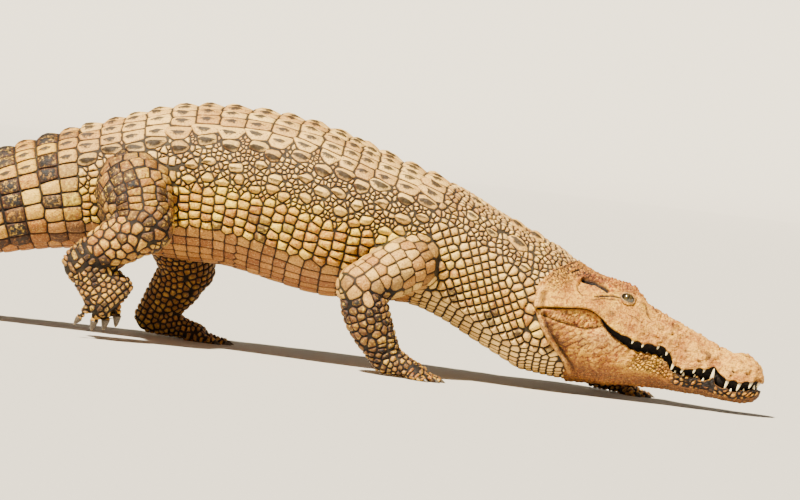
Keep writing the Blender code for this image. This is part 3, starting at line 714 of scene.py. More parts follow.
class Scales:
    """Scales on the ground: their table, places, normals, and the ways along and across."""

    def __init__(self, table, charts, ground):
        """Lays every scale on the ground, and drops those that are far from it: more than 12 mm on
        the body, 20 mm on a limb or 36 mm for a filler."""
        column = {key: table[:, i] for i, key in enumerate(COLUMNS)}
        place, ahead, beside = (np.zeros((len(table), 3)) for _ in range(3))
        for number, name in enumerate(CHART_NAMES):
            mine = column["chart"] == number
            if not mine.any():
                continue
            chart, s, f = charts[name], column["s"][mine], column["f"][mine]
            place[mine] = chart.place(s, f)
            ahead[mine] = chart.place(s + 0.004, f) - chart.place(s - 0.004, f)
            beside[mine] = chart.place(s, f + 0.02) - chart.place(s, f - 0.02)
        found, normal = on_surface(place, ground)
        far = np.where(column["rank"] == FILLER, 0.036, np.where(column["chart"] == 0, 0.012, 0.020))
        kept = np.linalg.norm(found - place, axis=1) < far
        self.table, self.place, self.normal = table[kept], found[kept], normal[kept]
        ahead, beside = ahead[kept], beside[kept]
        self.ahead = unit(ahead - (ahead * self.normal).sum(-1, keepdims=True) * self.normal)
        self.beside = np.cross(self.normal, self.ahead)
        self.thin()

    def column(self, key):
        """A column of the table."""
        return self.table[:, COLUMNS.index(key)]

    def keep(self, kept):
        """Drops every scale that isn't kept."""
        for key in ("table", "place", "normal", "ahead", "beside"):
            setattr(self, key, getattr(self, key)[kept])

    def neighbours(self, count):
        """Each scale's nearest others on the same side of the body: their numbers, and the steps to
        them along and across in its own plane."""
        order = np.argsort(self.place[:, 0])
        places, facing = self.place[order].astype(np.float32), self.normal[order].astype(np.float32)
        square = (places**2).sum(1)
        near = np.zeros((len(places), count), int)
        for part in np.array_split(np.arange(len(places)), max(1, len(places) // 250)):
            ends = places[part[0], 0] - NEARBY, places[part[-1], 0] + NEARBY
            low, high = np.searchsorted(places[:, 0], ends)
            gap = square[part, None] + square[None, low:high] - 2 * places[part] @ places[low:high].T
            gap[facing[part] @ facing[low:high].T < 0.2] = APART
            gap[np.arange(len(part)), part - low] = APART
            near[order[part]] = order[low + np.argpartition(gap, count, axis=1)[:, :count]]
        step = self.place[near] - self.place[:, None]
        along = (step * self.ahead[:, None]).sum(-1)
        across = (step * self.beside[:, None]).sum(-1)
        distance = np.linalg.norm(step, axis=2)
        stretch = distance / np.maximum(np.hypot(along, across), 1e-6)
        return near, along * stretch, across * stretch

    def reach(self, along, across, which=None):
        """Radius of a scale's own oval towards a step: the step's length over its length as measured
        in half lengths and half widths."""
        length, width = self.column("half_length"), self.column("half_width")
        if which is not None:
            length, width = length[which], width[which]
        else:
            length, width = length[:, None], width[:, None]
        distance = np.maximum(np.hypot(along, across), 1e-6)
        return distance / np.maximum(np.hypot(along / length, across / width), 1e-9)

    def thin(self):
        """Drops a scale that would crowd another of a lower rank, or of its own rank and lower in a
        random order, twice over. A filler needs skin that no other scale grows out to."""
        for _ in range(2):
            near, along, across = self.neighbours(14)
            rank = self.column("rank")
            order = rank * 10 + RANDOM.random(len(self.table))
            gap = np.hypot(along, across)
            mine, theirs = self.reach(along, across), self.reach_of(near, along, across)
            grown = theirs * self.column("round")[near] * 0.92
            fills = (rank[:, None] == FILLER) & (rank[near] < FILLER)
            room = CROWDING * (mine + theirs)
            room = np.where(fills, np.maximum(mine * 0.5 + grown, room), room)
            crowded = (gap < room) & (order[near] < order[:, None])
            self.keep(~crowded.any(1))

    def reach_of(self, near, along, across):
        """Radius of each neighbour's oval towards the scale, its own frame taken for the turn."""
        step = along[..., None] * self.ahead[:, None] + across[..., None] * self.beside[:, None]
        their_along = (step * self.ahead[near]).sum(-1)
        their_across = (step * self.beside[near]).sum(-1)
        return self.reach(their_along, their_across, near)

    def outlines(self, fine):
        """Radius of each scale towards each of many directions: a cell between its neighbours, each
        of which takes a share of the gap that fits its own size, and no more than its own oval."""
        near, along, across = self.neighbours(12)
        gap = np.hypot(along, across)
        mine, theirs = self.reach(along, across), self.reach_of(near, along, across)
        wall = gap * mine / (mine + theirs)
        length, width = self.column("half_length")[:, None], self.column("half_width")[:, None]
        angle = np.linspace(0, 2 * math.pi, fine, endpoint=False)[None]
        way_along, way_across = np.cos(angle) * length, np.sin(angle) * width
        size = np.hypot(way_along, way_across)
        way_along, way_across = way_along / size, way_across / size
        soft = np.zeros(way_along.shape)
        # A smooth minimum of all the limits: the sum of their negative powers, and its root.
        for k in range(near.shape[1]):
            facing = way_along * (along / gap)[:, k, None] + way_across * (across / gap)[:, k, None]
            limit = np.where(facing > 0.05, wall[:, k, None] / np.maximum(facing, 0.05), APART)
            soft += limit**-SHARPNESS
        soft += (self.reach(way_along, way_across) * self.column("round")[:, None]) ** -SHARPNESS
        return soft ** (-1 / SHARPNESS), way_along, way_across


# ---------------------------------------------------------------- where the scales grow
GRANULE, BACK, KEELED, FLANK, BELLY, TAIL, ARM, FOREARM, THIGH, SHANK, PAW, NECK, THROAT, NUCHAL = range(14)


def bands(chart, *rows, **own):
    """Lattices on both sides of the top line. Each row holds a kind, the s0, s1, f0 and f1 of the
    left side, the spacing of rows and in a row, stagger, jitter, dome, keel, round, rank and size."""
    made = []
    for kind, s0, s1, f0, f1, along, across, stagger, jitter, dome, keel, swell, rank, size in rows:
        for low, high in ((f0, f1), (-f1, -f0)):
            made.append(lattice(
                chart, (s0, s1, low, high), along, across, stagger, jitter, size, dome=dome, keel=keel,
                round=swell, rank=rank, kind=kind, **own,
            ))
    return made


def single(chart, x, f, length, width, keel):
    """One scale of the nuchal shield, of its own size, where the middle of the chart passes x."""
    made = {
        "s": chart.s_at_x(x), "f": f, "chart": CHART_NAMES.index(chart.name),
        "half_length": length / 2, "half_width": width / 2,
        "dome": 0.003, "keel": keel, "round": 1.05, "kind": NUCHAL, "rank": -1,
    }
    return np.array([[made[key] for key in COLUMNS]], float)


def fillers(chart, spans, spacing):
    """Granules for whatever bare skin is left between the other scales."""
    return scatter(chart, spans, spacing, rank=FILLER, round=2.1, dome=0.0018, kind=GRANULE)


def trunk_scales(body):
    """Square keeled scutes in cross rows on the back, a stout keeled row down each side of them,
    rows of ovals among granules, flank bricks, and flat belly squares."""
    start, hip, end = body.s_at_x(TAIL_ROOT), body.s_at_x(0.10), body.s_at_x(SHOULDER)
    made = bands(
        body,
        (BACK, start, end, 0.0, 0.30, 0.061, 0.046, 0.12, 0.16, 0.0022, 0.0125, 1.7, -1, 1),
        (KEELED, start, end, 0.305, 0.355, 0.063, 0.042, 0.5, 0.30, 0.004, 0.016, 1.25, -1, 0.95),
        (FLANK, hip, end, 0.385, 0.435, 0.060, 0.035, 0.5, 0.40, 0.007, 0.007, 1.25, -1, 0.85),
        (FLANK, hip, end, 0.450, 0.495, 0.047, 0.031, 0.4, 0.40, 0.007, 0.004, 1.3, -1, 0.90),
        (FLANK, start, hip, 0.355, 0.67, 0.025, 0.021, 0.4, 0.35, 0.0060, 0, 1.7, 0, 1),
        (FLANK, hip, end, 0.50, 0.665, 0.036, 0.0245, 0.20, 0.20, 0.0075, 0, 1.7, 0, 1),
        (BELLY, start, end, 0.665, 1.0, 0.043, 0.034, 0.0, 0.10, 0.0006, 0, 1.7, 0, 1),
        (GRANULE, start, end, 0.345, 0.52, 0.0120, 0.0110, 0.5, 0.9, 0.0042, 0, 2.1, 1, 1),
    )
    for low, high, spacing in ((-1, 1, 0.013), (-0.42, -0.285, 0.0085), (0.285, 0.42, 0.0085)):
        made.append(fillers(body, (start, end, low, high), spacing))
    return made


def tail_scales(body):
    """Upright whorls of plates, which shrink towards the tip with the tail."""
    made = []
    ends = (TAIL_ROOT, -0.51, -0.79, -1.07, -1.40, -1.75, -2.05, -2.33)
    for near, far, pitch in zip(ends, ends[1:], (0.057, 0.056, 0.054, 0.050, 0.044, 0.036, 0.028)):
        s = body.s_at_x(far), body.s_at_x(near)
        tall, small = pitch * 0.72, pitch / 0.056
        made += bands(
            body,
            (TAIL, *s, 0.02, 0.36, pitch, tall * 1.05, 0, 0.06, 0.002 * small, 0.008 * small, 1.6, 0, 1),
            (TAIL, *s, 0.36, 0.80, pitch, tall, 0, 0.08, 0.0022 * small, 0.0015 * small, 1.6, 0, 1),
            (BELLY, *s, 0.80, 1.0, pitch * 0.75, tall * 0.8, 0, 0.08, 0.001, 0, 1.6, 0, 1),
        )
        made.append(fillers(body, (*s, -1, 1), 0.014 * small))
    return made


# The nuchal shield's scales on one side: x, f, length, width and keel.
NUCHAL_SHIELD = (
    (0.975, 0.085, 0.072, 0.056, 0.012), (1.050, 0.080, 0.066, 0.052, 0.012),
    (1.010, 0.240, 0.076, 0.056, 0.016), (0.930, 0.285, 0.044, 0.030, 0.010),
    (1.065, 0.340, 0.044, 0.030, 0.010), (0.860, 0.120, 0.050, 0.040, 0.009),
    (0.868, 0.260, 0.048, 0.038, 0.010),
)


def neck_scales(body):
    """Granules over the nape with the nuchal shield standing among them, upright diamonds on the
    sides, and the throat's squares."""
    start, end = body.s_at_x(SHOULDER), body.length
    made = []
    for side in (-1, 1):
        made += [single(body, x, side * f, *sizes) for x, f, *sizes in NUCHAL_SHIELD]
        low, high = sorted((side * 0.0, side * 0.38))
        made.append(scatter(body, (start, end, low, high), 0.0145, dome=0.0042, round=2.1, kind=GRANULE))
    made += bands(
        body, (NECK, start, end, 0.38, 0.70, 0.0152, 0.0300, 0.5, 0.10, 0.0075, 0, 1.7, 0, 1),
        half_length=0.0125, half_width=0.0125,
    )
    made += bands(body, (THROAT, start, end, 0.70, 1.0, 0.027, 0.025, 0, 0.08, 0.0012, 0, 1.6, 0, 1))
    made.append(fillers(body, (start, end, -1, 1), 0.013))
    return made


def crown_scales(chart):
    """The neck's scales carried on over the back of the head, as far as the hide's edge."""
    end = chart.length
    made = [scatter(chart, (0.0, end, -0.38, 0.38), 0.0135, dome=0.0036, round=2.1, kind=GRANULE)]
    made += bands(
        chart, (NECK, 0, end, 0.38, 0.70, 0.0140, 0.0270, 0.5, 0.10, 0.0065, 0, 1.7, 0, 1),
        half_length=0.0115, half_width=0.0115,
    )
    made += bands(chart, (THROAT, 0, end, 0.70, 1.0, 0.0200, 0.0200, 0, 0.08, 0.0012, 0, 1.6, 0, 1))
    made += [fillers(chart, (0.0, end, -1, 1), spacing) for spacing in (0.013, 0.010)]
    table = np.concatenate(made)
    away = chart.place(table[:, 0], table[:, 1]) - SNOUT_TIP
    return [table[behind_border(-(away @ HEAD_WAY), away @ HEAD_UP) > 0.002]]


# The scales round a limb: its length, from and to as a length in metres and a share of the whole,
# spacing of rows and in a row, jitter, dome, round and kind.
LIMB_BANDS = {
    "fore": (
        ("upper", (0.03, 0), (0, 1), 0.031, 0.033, 0.45, 0.0024, 1.7, ARM),
        ("lower", (0.03, 0), (0, 0.66), 0.020, 0.023, 0.40, 0.0040, 1.6, FOREARM),
        ("lower", (0, 0.66), (0, 0.92), 0.0105, 0.030, 0.2, 0.0032, 1.6, FOREARM),
    ),
    "right_hind": (
        ("upper", (0.05, 0), (0, 0.55), 0.023, 0.040, 0.35, 0.0034, 1.9, THIGH),
        ("upper", (0, 0.55), (0, 1), 0.019, 0.040, 0.30, 0.0044, 1.8, THIGH),
        ("lower", (0.02, 0), (0, 0.60), 0.022, 0.034, 0.30, 0.0042, 1.7, SHANK),
        ("lower", (0, 0.60), (0, 0.97), 0.0115, 0.052, 0.2, 0.0048, 1.8, SHANK),
    ),
    "left_hind": (
        ("upper", (0.05, 0), (0, 1), 0.0175, 0.0190, 0.40, 0.0030, 1.6, THIGH),
        ("lower", (0.02, 0), (0, 0.90), 0.0165, 0.0190, 0.35, 0.0030, 1.6, SHANK),
    ),
}


def limb_scales(charts, limb):
    """Polygons down the upper length, smaller ones down the lower, narrow bands at the wrist or
    ankle, and small scales on the palm and across each digit."""
    upper, lower, palm = (charts[f"{limb}_{part}"] for part in ("upper", "lower", "palm"))
    made = []
    for part, first, last, *sizes, dome, swell, kind in LIMB_BANDS["fore" if "fore" in limb else limb]:
        chart = charts[f"{limb}_{part}"]
        s0, s1 = (length + chart.length * share for length, share in (first, last))
        along, across, jitter = sizes
        made.append(lattice(
            chart, (s0, s1, -1, 1), along, across, jitter=jitter, dome=dome, round=swell, kind=kind,
        ))
    for spacing in (0.0130, 0.0095):
        made.append(fillers(upper, (0.03, upper.length, -1, 1), spacing))
        made.append(fillers(lower, (0.0, lower.length * 0.95, -1, 1), spacing))
    made.append(lattice(
        palm, (0.0, palm.length, -1, 1), 0.0135, 0.0175, jitter=0.3, dome=0.0024, round=1.5, kind=PAW,
    ))
    for name, chart in charts.items():
        if name.startswith(f"{limb}_digit"):
            made.append(lattice(
                chart, (0.0, chart.length * 0.93, -1, 1), 0.0105, 0.0300, dome=0.0028, round=1.6, kind=PAW,
            ))
    made += [fillers(chart, (0.03, chart.length * 0.95, -1, 1), 0.013) for chart in (upper, lower)]
    return made


# ---------------------------------------------------------------- markings
TINTS = ("tone", "ochre", "pale", "pink", "dark", "rust", "soil")


def markings(charts, chart, s, f, kind):
    """What a place on the animal is coloured: a random tone, how ochre, pale, pink, dark and rusty it is,
    and how dark its grooves are painted as shade and dirt. Flanks are yellow ochre with rusty scales
    among them, the back is bleached, the belly and throat are pink tan, dark blotches stand in the
    tail's whorls and on the legs, the legs are painted darker as shade on the forearms, thighs and far
    side, and the grooves' painted shade and dirt are darkest on the flanks and limbs."""
    tone, chance, other = RANDOM.random((len(s), 3)).T
    crown = chart == CHART_NAMES.index("crown")
    body = (chart == 0) | crown
    x = np.where(crown, 1.1, np.interp(s, charts["body"].at, charts["body"].middle[:, 0]))
    height = np.abs(f)
    blotch = lattice_noise(np.stack([s * 26, f * 11 + chart * 5], -1), 5)
    cloud = lattice_noise(np.stack([s * 7, f * 4 + chart * 3], -1), 6)
    flank = smooth(0.40, 0.55, height) * (1 - smooth(0.64, 0.70, height))
    under = smooth(0.655, 0.70, height)
    above_throat = 1 - smooth(0.88, 0.96, height)
    tail = 1 - smooth(-0.26, -0.14, x)
    front = smooth(0.74, 0.90, x)
    # The trunk and neck: yellow flanks, a pale back, pink below.
    yellow = 0.45 * smooth(0.44, 0.56, height) * (1 - under)
    ochre = np.where(body, 0.24 + 0.76 * flank + yellow - 0.24 * under, 0.50 + 0.25 * cloud)
    ochre += body * front * (1 - flank) * (0.35 + 0.25 * smooth(0.50, 0.66, height))
    pink = body * 0.8 * under * (1 - front * above_throat)
    pale = body * (1 - smooth(0.36, 0.53, height)) * 0.58 * (1 - tail)
    nape = body & (kind == GRANULE) & (x > 0.78) & (height < 0.42)
    pale = np.where(nape, 0.62 + 0.3 * (chance > 0.6), pale)
    ochre = np.where(nape, 0.40 + 0.3 * cloud, ochre)
    pale += body * front * smooth(0.36, 0.48, height) * above_throat * 0.38
    pale += body * 0.5 * front * smooth(0.60, 0.68, height) * above_throat
    tone = tone + body * 0.5 * front * smooth(0.52, 0.68, height)
    tone += body * 0.30 * (1 - tail) * bump(height, 0.44, 0.08)
    # The tail: ochre, rust and dark blotches. Dark on the stout rows of the hips too.
    tail_ochre = tail * (0.45 + 0.4 * smooth(0.5, 0.75, height) + 0.25 * cloud) * (1 - under)
    ochre = np.where(body, ochre * (1 - tail) + tail_ochre, ochre)
    rusty = 0.55 * flank * (chance > 0.68) + 0.25 * flank * (chance < 0.20)
    rust = body * (rusty * (1 - tail) + 0.45 * tail * (chance > 0.45))
    dark = tail * smooth(-0.06, 0.12, blotch) * (1 - smooth(0.74, 0.84, height))
    dark += 0.9 * flank * (1 - tail) * smooth(0.28, 0.48, blotch) * smooth(0.52, 0.62, height)
    dark += 0.35 * (kind == KEELED) * (1 - smooth(0.25, 0.45, x))
    dark = body * (dark + 0.30 * nape * (other > 0.55))
    # The limbs: pale upper arms, the rest rusty and dark, darkest on the thighs' tops.
    arm, thigh = kind == ARM, kind == THIGH
    pale = np.where(arm, 0.42, pale)
    pink = np.where(arm, 0.22 + 0.2 * cloud, pink)
    dark = np.where(arm, 0.45 * (chance > 0.72), dark)
    leg = np.isin(kind, (THIGH, SHANK, PAW, FOREARM))
    rust = np.where(leg, 0.45 + 0.35 * cloud, rust)
    # Forearms and thighs are darker still: painted shade, partly dirt.
    legs_dark = 0.70 * smooth(-0.05, 0.35, blotch) + 0.30 * other + 0.52 * (kind == FOREARM)
    dark = np.where(leg, legs_dark + 0.14 * thigh, dark)
    high = thigh * (1 - smooth(0.08, 0.20, s))
    dark += 0.46 * high
    ochre *= 1 - 0.8 * high
    # The left limbs, on the animal's shaded side, are painted greyer and darker as shade.
    far = leg & np.array([name.startswith("left") for name in CHART_NAMES])[chart.astype(int)]
    dark = np.where(far, 0.16 + 0.3 * dark, dark)
    ochre = np.where(far, 0.10, ochre)
    pale = np.where(far, 0.40 * (kind == PAW), pale)
    # How dark the grooves are painted, as shade and dirt: less on the back, the belly and the upper arms.
    soil = 1 - 0.20 * (1 - smooth(0.26, 0.38, height)) - 0.40 * under * (1 - front)
    soil = np.maximum(np.where(nape, 0.9, soil), 0.8 * tail * (1 - under))
    soil = np.where(body, soil, 1 - 0.35 * arm)
    made = zip(TINTS, (tone, ochre, pale, pink, dark, rust, soil))
    return {key: np.clip(value, 0, 1) for key, value in made}


def skin_markings(points, scales, tints):
    """The nearest scale's markings for each point of the skin, and painted shade inside the mouth."""
    order = np.argsort(scales.place[:, 0])
    places, inside = scales.place[order].astype(np.float32), points.astype(np.float32)
    nearest = np.zeros(len(points), int)
    for part in np.array_split(np.argsort(points[:, 0]), 120):
        ends = inside[part, 0].min() - 0.03, inside[part, 0].max() + 0.03
        low, high = np.searchsorted(places[:, 0], ends)
        low, high = min(low, len(places) - 1), max(high, min(low, len(places) - 1) + 1)
        some = places[low:high]
        gap = (some**2).sum(1)[None] - 2 * inside[part] @ some.T
        nearest[part] = order[low + gap.argmin(1)]
    made = {key: value[nearest] for key, value in tints.items()}
    away = points - SNOUT_TIP
    behind = behind_border(-(away @ HEAD_WAY), away @ HEAD_UP)
    # Inside the mouth, in front of the hide's edge, the skin is painted dark as shade.
    made["dark"] = np.maximum(made["dark"], 1 - smooth(-0.040, -0.015, behind))
    return made


# ---------------------------------------------------------------- plates
# A plate's rings: share of its radius, how far inside that, and share of its thickness there.
PLATE_RINGS = ((0.46, 0.0, 1.00), (0.86, 0.0005, 0.95), (1.0, 0.0011, 0.60), (1.0, 0.0, -1.3))
PLATE_THICKNESS = 0.0021
GROOVE = 0.0005  # half the width of the groove between two scales
RIM_DEPTH = 0.0080  # how far inside a plate the painted shade and dirt of its rim start
# What each point of a plate knows of its place on it: nearness to the rim, the place along and down
# it in half sizes, and how strongly it is keeled, above 1 for the stout rows.
LOCAL = ("rim", "lengthways", "downwards", "keeled")


def make_plates(scales, outline, chosen, sectors, charts, ground):
    """Points, faces, chart places and attributes of the chosen scales. A plate is a fan and three
    bands round its root, with one corner in each sector, where the outline reaches furthest: a dome
    whose height falls with the square of the distance from its middle, a keel along it that rises
    towards the tail, and a rim that turns down into the skin."""
    fine, fine_along, fine_across = (part[chosen] for part in outline)
    each = fine.shape[1] // sectors
    corner = fine.reshape(len(fine), sectors, each).argmax(-1) + np.arange(sectors) * each
    radius, way_along, way_across = (
        np.take_along_axis(part, corner, 1) for part in (fine, fine_along, fine_across)
    )
    radius = np.maximum(radius - GROOVE, 0.0018)
    table = scales.table[chosen]
    column = {key: table[:, i, None] for i, key in enumerate(COLUMNS)}
    rings = len(PLATE_RINGS)
    share, inner, rise = np.array([(0.0, 0.0, 1.0), *np.repeat(PLATE_RINGS, sectors, 0)]).T
    turn = np.concatenate([[0], np.tile(np.arange(sectors), rings)])
    reach = np.maximum(share * radius[:, turn] - inner, 0)
    u, v = reach * way_along[:, turn], reach * way_across[:, turn]
    place, ahead, beside, out = (
        part[chosen][:, None] for part in (scales.place, scales.ahead, scales.beside, scales.normal)
    )
    points = place + u[..., None] * ahead + v[..., None] * beside
    found, normal = on_surface(points.reshape(-1, 3), ground)
    found, normal = found.reshape(points.shape), normal.reshape(points.shape)
    normal = unit(normal + 0.6 * out)
    length, width, keel = column["half_length"], column["half_width"], column["keel"]
    size = np.minimum(1, radius.mean(1, keepdims=True) / 0.010)
    dome = column["dome"] * (1 - share**2) * size
    lower = np.where(column["f"] < 0, -1.0, 1.0)
    off = lower * v / width
    ridge = bump(off, 0, np.where(off > 0, 0.22, 0.42))
    ridge = ridge * (0.60 - 0.40 * np.clip(u / length, -1, 1)) * (1 - share**4)
    height = PLATE_THICKNESS * np.where(rise > 0, rise * size, rise) + dome + keel * ridge
    whorled = column["kind"] == TAIL
    along = np.clip(u / length, -1, 1)
    height += 0.0045 * whorled * (1 - along**2) * np.minimum(1, length / 0.025) * (rise > 0)
    tilt = -0.0012 * along * (rise > 0) * size
    points = found + normal * (height + tilt)[..., None]
    ring = np.arange(sectors)
    after = np.roll(ring, -1)
    fan = np.stack([np.zeros(sectors, int), 1 + ring, 1 + after], -1)
    band = np.concatenate([
        np.stack([1 + k * sectors + ring, 1 + (k + 1) * sectors + ring,
                  1 + (k + 1) * sectors + after, 1 + k * sectors + after], -1)
        for k in range(rings - 1)
    ])
    girth = np.ones(len(table))
    for number, name in enumerate(CHART_NAMES):
        mine = table[:, COLUMNS.index("chart")] == number
        girth[mine] = charts[name].girth(column["s"][mine, 0])
    # Nearness to the rim, where the material paints shade and dirt; tail plates also get it towards their
    # front and back ends.
    edge = np.clip(1 - (radius[:, turn] - reach) / RIM_DEPTH, 0, 1)
    edge = np.maximum(edge, np.clip(1 - (length - np.abs(u)) / 0.012, 0, 1) * whorled)
    start = np.where(column["chart"] == CHART_NAMES.index("crown"), charts["body"].length, 0.0)
    return {
        "points": points, "fan": fan, "band": band, "s": start + column["s"] + u,
        "f": column["f"] + v / girth[:, None],
        "girth": girth, "rim": edge, "lengthways": u / length, "downwards": off,
        "keeled": np.clip(keel / 0.008, 0, 1) + (column["kind"] == KEELED) + 0 * u,
    }


def plates_piece(name, sets, chosen, tints, material):
    """One joined mesh of the chosen scales' plates, with its unwrap: where each lies on the unrolled
    tube. sets holds the plates of each fineness with the numbers of their scales."""
    points, faces, s, around, start = [], [], [], [], 0
    attributes = {key: [] for key in (*TINTS, *LOCAL)}
    for plates, numbers in sets:
        mine = chosen[numbers]
        if not mine.any():
            continue
        count, each = plates["points"][mine].shape[:2]
        shift = start + (np.arange(count) * each)[:, None, None]
        points.append(plates["points"][mine].reshape(-1, 3))
        faces += [(plates["band"] + shift).reshape(-1, 4), (plates["fan"] + shift).reshape(-1, 3)]
        for key in TINTS:
            attributes[key].append(np.repeat(tints[key][numbers][mine], each))
        for key in LOCAL:
            attributes[key].append(plates[key][mine].ravel())
        s.append(plates["s"][mine].ravel())
        around.append((plates["f"][mine] * plates["girth"][mine].mean()).ravel())
        start += count * each
    s, around = np.concatenate(s), np.concatenate(around)
    uv = np.stack([s - s.min(), around - around.min()], -1)
    uv = 0.01 + 0.98 * uv / uv.max()
    attributes = {key: np.concatenate(value) for key, value in attributes.items()}
    return make_mesh(name, np.concatenate(points), faces, material, attributes, uv)


def crest_piece(chart, material):
    """The tail's crest as one mesh: blades that stand on the tail and rise backwards to a worn tip,
    two rows that close in to one. Each is a stack of five ovals, whose length shrinks with the
    level^1.4 and width with the level while they shift back."""
    count = int((CREST_START - CREST_END) / CREST_PITCH)
    level = np.array([0.0, 0.30, 0.62, 0.86, 1.0])[:, None]
    turn = np.linspace(0, 2 * math.pi, 15)[None, :-1]
    grids, uv = [], []
    for i in range(count):
        x = CREST_START - (i + 0.5) * CREST_PITCH
        along = (CREST_START - x) / (CREST_START - CREST_END)
        size = CREST_HEIGHT * min(1, along * 6) * (1 - 0.55 * along**2)
        half = CREST_PITCH * 0.52
        for side in ((-1, 1) if x > CREST_MERGE else (0,)):
            middle = chart.s_at_x(x) - level * half * 0.80
            reach = half * (1 - 0.80 * level**1.4)
            wide = (0.0075 - 0.003 * along) * (1 - 0.75 * level)
            s = middle + reach * np.cos(turn)
            f = side * 0.085 + 0 * s
            root = chart.place(s, f)
            across = unit(chart.place(s, f + 0.03) - chart.place(s, f - 0.03))
            ahead = unit(chart.place(s + 0.01, f) - chart.place(s - 0.01, f))
            up = unit(np.cross(across, ahead))
            up = up * np.sign((up[..., 2:] > 0) - 0.5)
            out = up + 0.35 * side * across
            high, wide = level * (size + 0.005) - 0.005, wide * np.sin(turn)
            grids.append(root + out * high[..., None] + across * wide[..., None])
            corner = np.stack([s, 0.05 + 0.05 * side + wide + 0 * s], -1)
            uv += [corner.reshape(-1, 2), corner[[0, -1]].mean(1)]
    up_share = np.tile(with_ends(np.repeat(level, turn.size), 0.0, 1.0), len(grids))
    uv = np.concatenate(uv)
    uv = 0.01 + 0.98 * (uv - uv.min(0)) / (uv - uv.min(0)).max()
    tone, chance = np.repeat(RANDOM.random((len(grids), 2)), len(up_share) // len(grids), 0).T
    values = {key: np.zeros(len(up_share)) for key in (*TINTS, *LOCAL)}
    # Each blade darkens towards its foot through rim: painted shade and dirt where it meets the tail.
    values.update(
        tone=tone, ochre=0.45 + 0 * up_share, rust=0.5 * chance, soil=1 + 0 * up_share,
        dark=0.55 * (chance > 0.4), rim=np.clip(0.95 - 2.2 * up_share, 0, 1),
    )
    return make_mesh("tail_crest", *joined(grids), material, values, uv)


# ---------------------------------------------------------------- the head's hide
EYE_OPENING = (math.radians(56), math.radians(34))  # half length and half height, as seen from the ball
LID_THICKNESS = 0.0022
# Creases of the upper head's side: path of h and z in mm, how deep and wide in metres, and how dark the
# painted shade in each is.
CREASES = (
    (mm((440, 99), (475, 94), (513, 80)), 0.0050, 0.0024, 1.00),
    (mm((456, 87), (488, 83), (516, 70)), 0.0030, 0.0020, 0.75),
    (mm((562, 112), (530, 115), (488, 104)), 0.0110, 0.0054, 1.00),
    (mm((560, 110), (536, 110)), 0.0060, 0.0060, 1.00),
    (mm((390, 106), (364, 80), (340, 64)), 0.0044, 0.0024, 0.62),
    (mm((410, 62), (390, 60), (368, 52)), 0.0026, 0.0020, 0.70),
    (mm((400, 76), (384, 74), (372, 66)), 0.0020, 0.0018, 0.50),
    (mm((620, 40), (588, 32), (523, 56)), 0.0020, 0.0032, 0.22),
    (mm((566, 100), (570, 88), (560, 77), (545, 71)), 0.0030, 0.0024, 0.70),
    (mm((545, 98), (520, 94)), 0.0016, 0.0030, 0.30),
    (mm((600, 118), (585, 132)), 0.0036, 0.0026, 0.90),
    (mm((622, 128), (604, 146)), 0.0036, 0.0026, 0.80),
    (mm((588, 100), (600, 88)), 0.0024, 0.0022, 0.55),
)
# Ridges beside them: path, how high and wide.
RIDGES = (
    (mm((574, 104), (562, 122), (532, 126), (502, 119), (474, 112)), 0.0060, 0.0062),
    (mm((572, 106), (578, 92), (568, 76), (548, 65)), 0.0036, 0.0040),
    (mm((500, 96), (535, 100), (556, 98)), 0.0030, 0.0060),
    (mm((452, 80), (425, 70), (398, 84)), 0.0022, 0.0034),
)
# The lines along the brow and from the eye's corner to the snout.
BROW_PATH = mm((500, 133), (477, 144), (446, 141), (414, 132), (386, 116))
CANTHUS = mm((386, 112), (362, 97), (328, 85), (298, 67), (248, 57))


def away_from(h, z, path):
    """Distance from places on the head's side to a line through the given (h, z) points."""
    nearest = np.full(np.broadcast(h, z).shape, 9.0)
    for (h0, z0), (h1, z1) in zip(path, path[1:]):
        run, rise = h1 - h0, z1 - z0
        share = np.clip(((h - h0) * run + (z - z0) * rise) / (run * run + rise * rise), 0, 1)
        nearest = np.minimum(nearest, np.hypot(h - h0 - share * run, z - z0 - share * rise))
    return nearest


def eye_frame(side):
    """An eye's centre, the way it looks, and its long and upright ways. It looks outwards, a little
    up and forwards."""
    centre = head_point(np.array(EYE[0]), side * EYE[1], EYE[2])
    gaze = unit(side * 0.90 * HEAD_LEFT + 0.36 * HEAD_UP + 0.16 * HEAD_WAY)
    long_way = HEAD_WAY - 0.10 * HEAD_UP
    long_way = unit(long_way - gaze * (long_way @ gaze))
    return centre, gaze, long_way, np.cross(gaze, long_way) * -side


def opening(turn):
    """How far the eye's opening reaches from the gaze at a turn round it: an oval with its corners
    drawn out."""
    length, height = EYE_OPENING
    oval = 1 / np.sqrt((np.cos(turn) / length) ** 2 + (np.sin(turn) / height) ** 2)
    return oval * (1 + 0.10 * np.abs(np.cos(turn)) ** 6)


def fit_eyes(points):
    """Draws the hide over each eyeball as bulging lids, and sinks it inside the lids' opening."""
    for side in (-1, 1):
        centre, gaze, long_way, upright = eye_frame(side)
        away = points - centre
        distance = np.linalg.norm(away, axis=-1)
        way = away / np.maximum(distance, 1e-9)[..., None]
        angle = np.arccos(np.clip(way @ gaze, -1, 1))
        turn = np.arctan2(way @ upright, way @ long_way)
        near = (1 - smooth(1.15, 1.75, angle)) * (1 - smooth(0.034, 0.050, distance))
        share = angle / opening(turn)
        fold = 0.0012 * bump(share, 1.45, 0.14) - 0.0010 * bump(share, 1.75, 0.10)
        lid = EYE_RADIUS + LID_THICKNESS + fold
        inside = 1 - smooth(0.95, 1.04, share)
        lid = lid * (1 - inside) + 0.70 * EYE_RADIUS * inside
        distance = distance * (1 - near) + lid * near
        points = centre + way * distance[..., None]
    return points


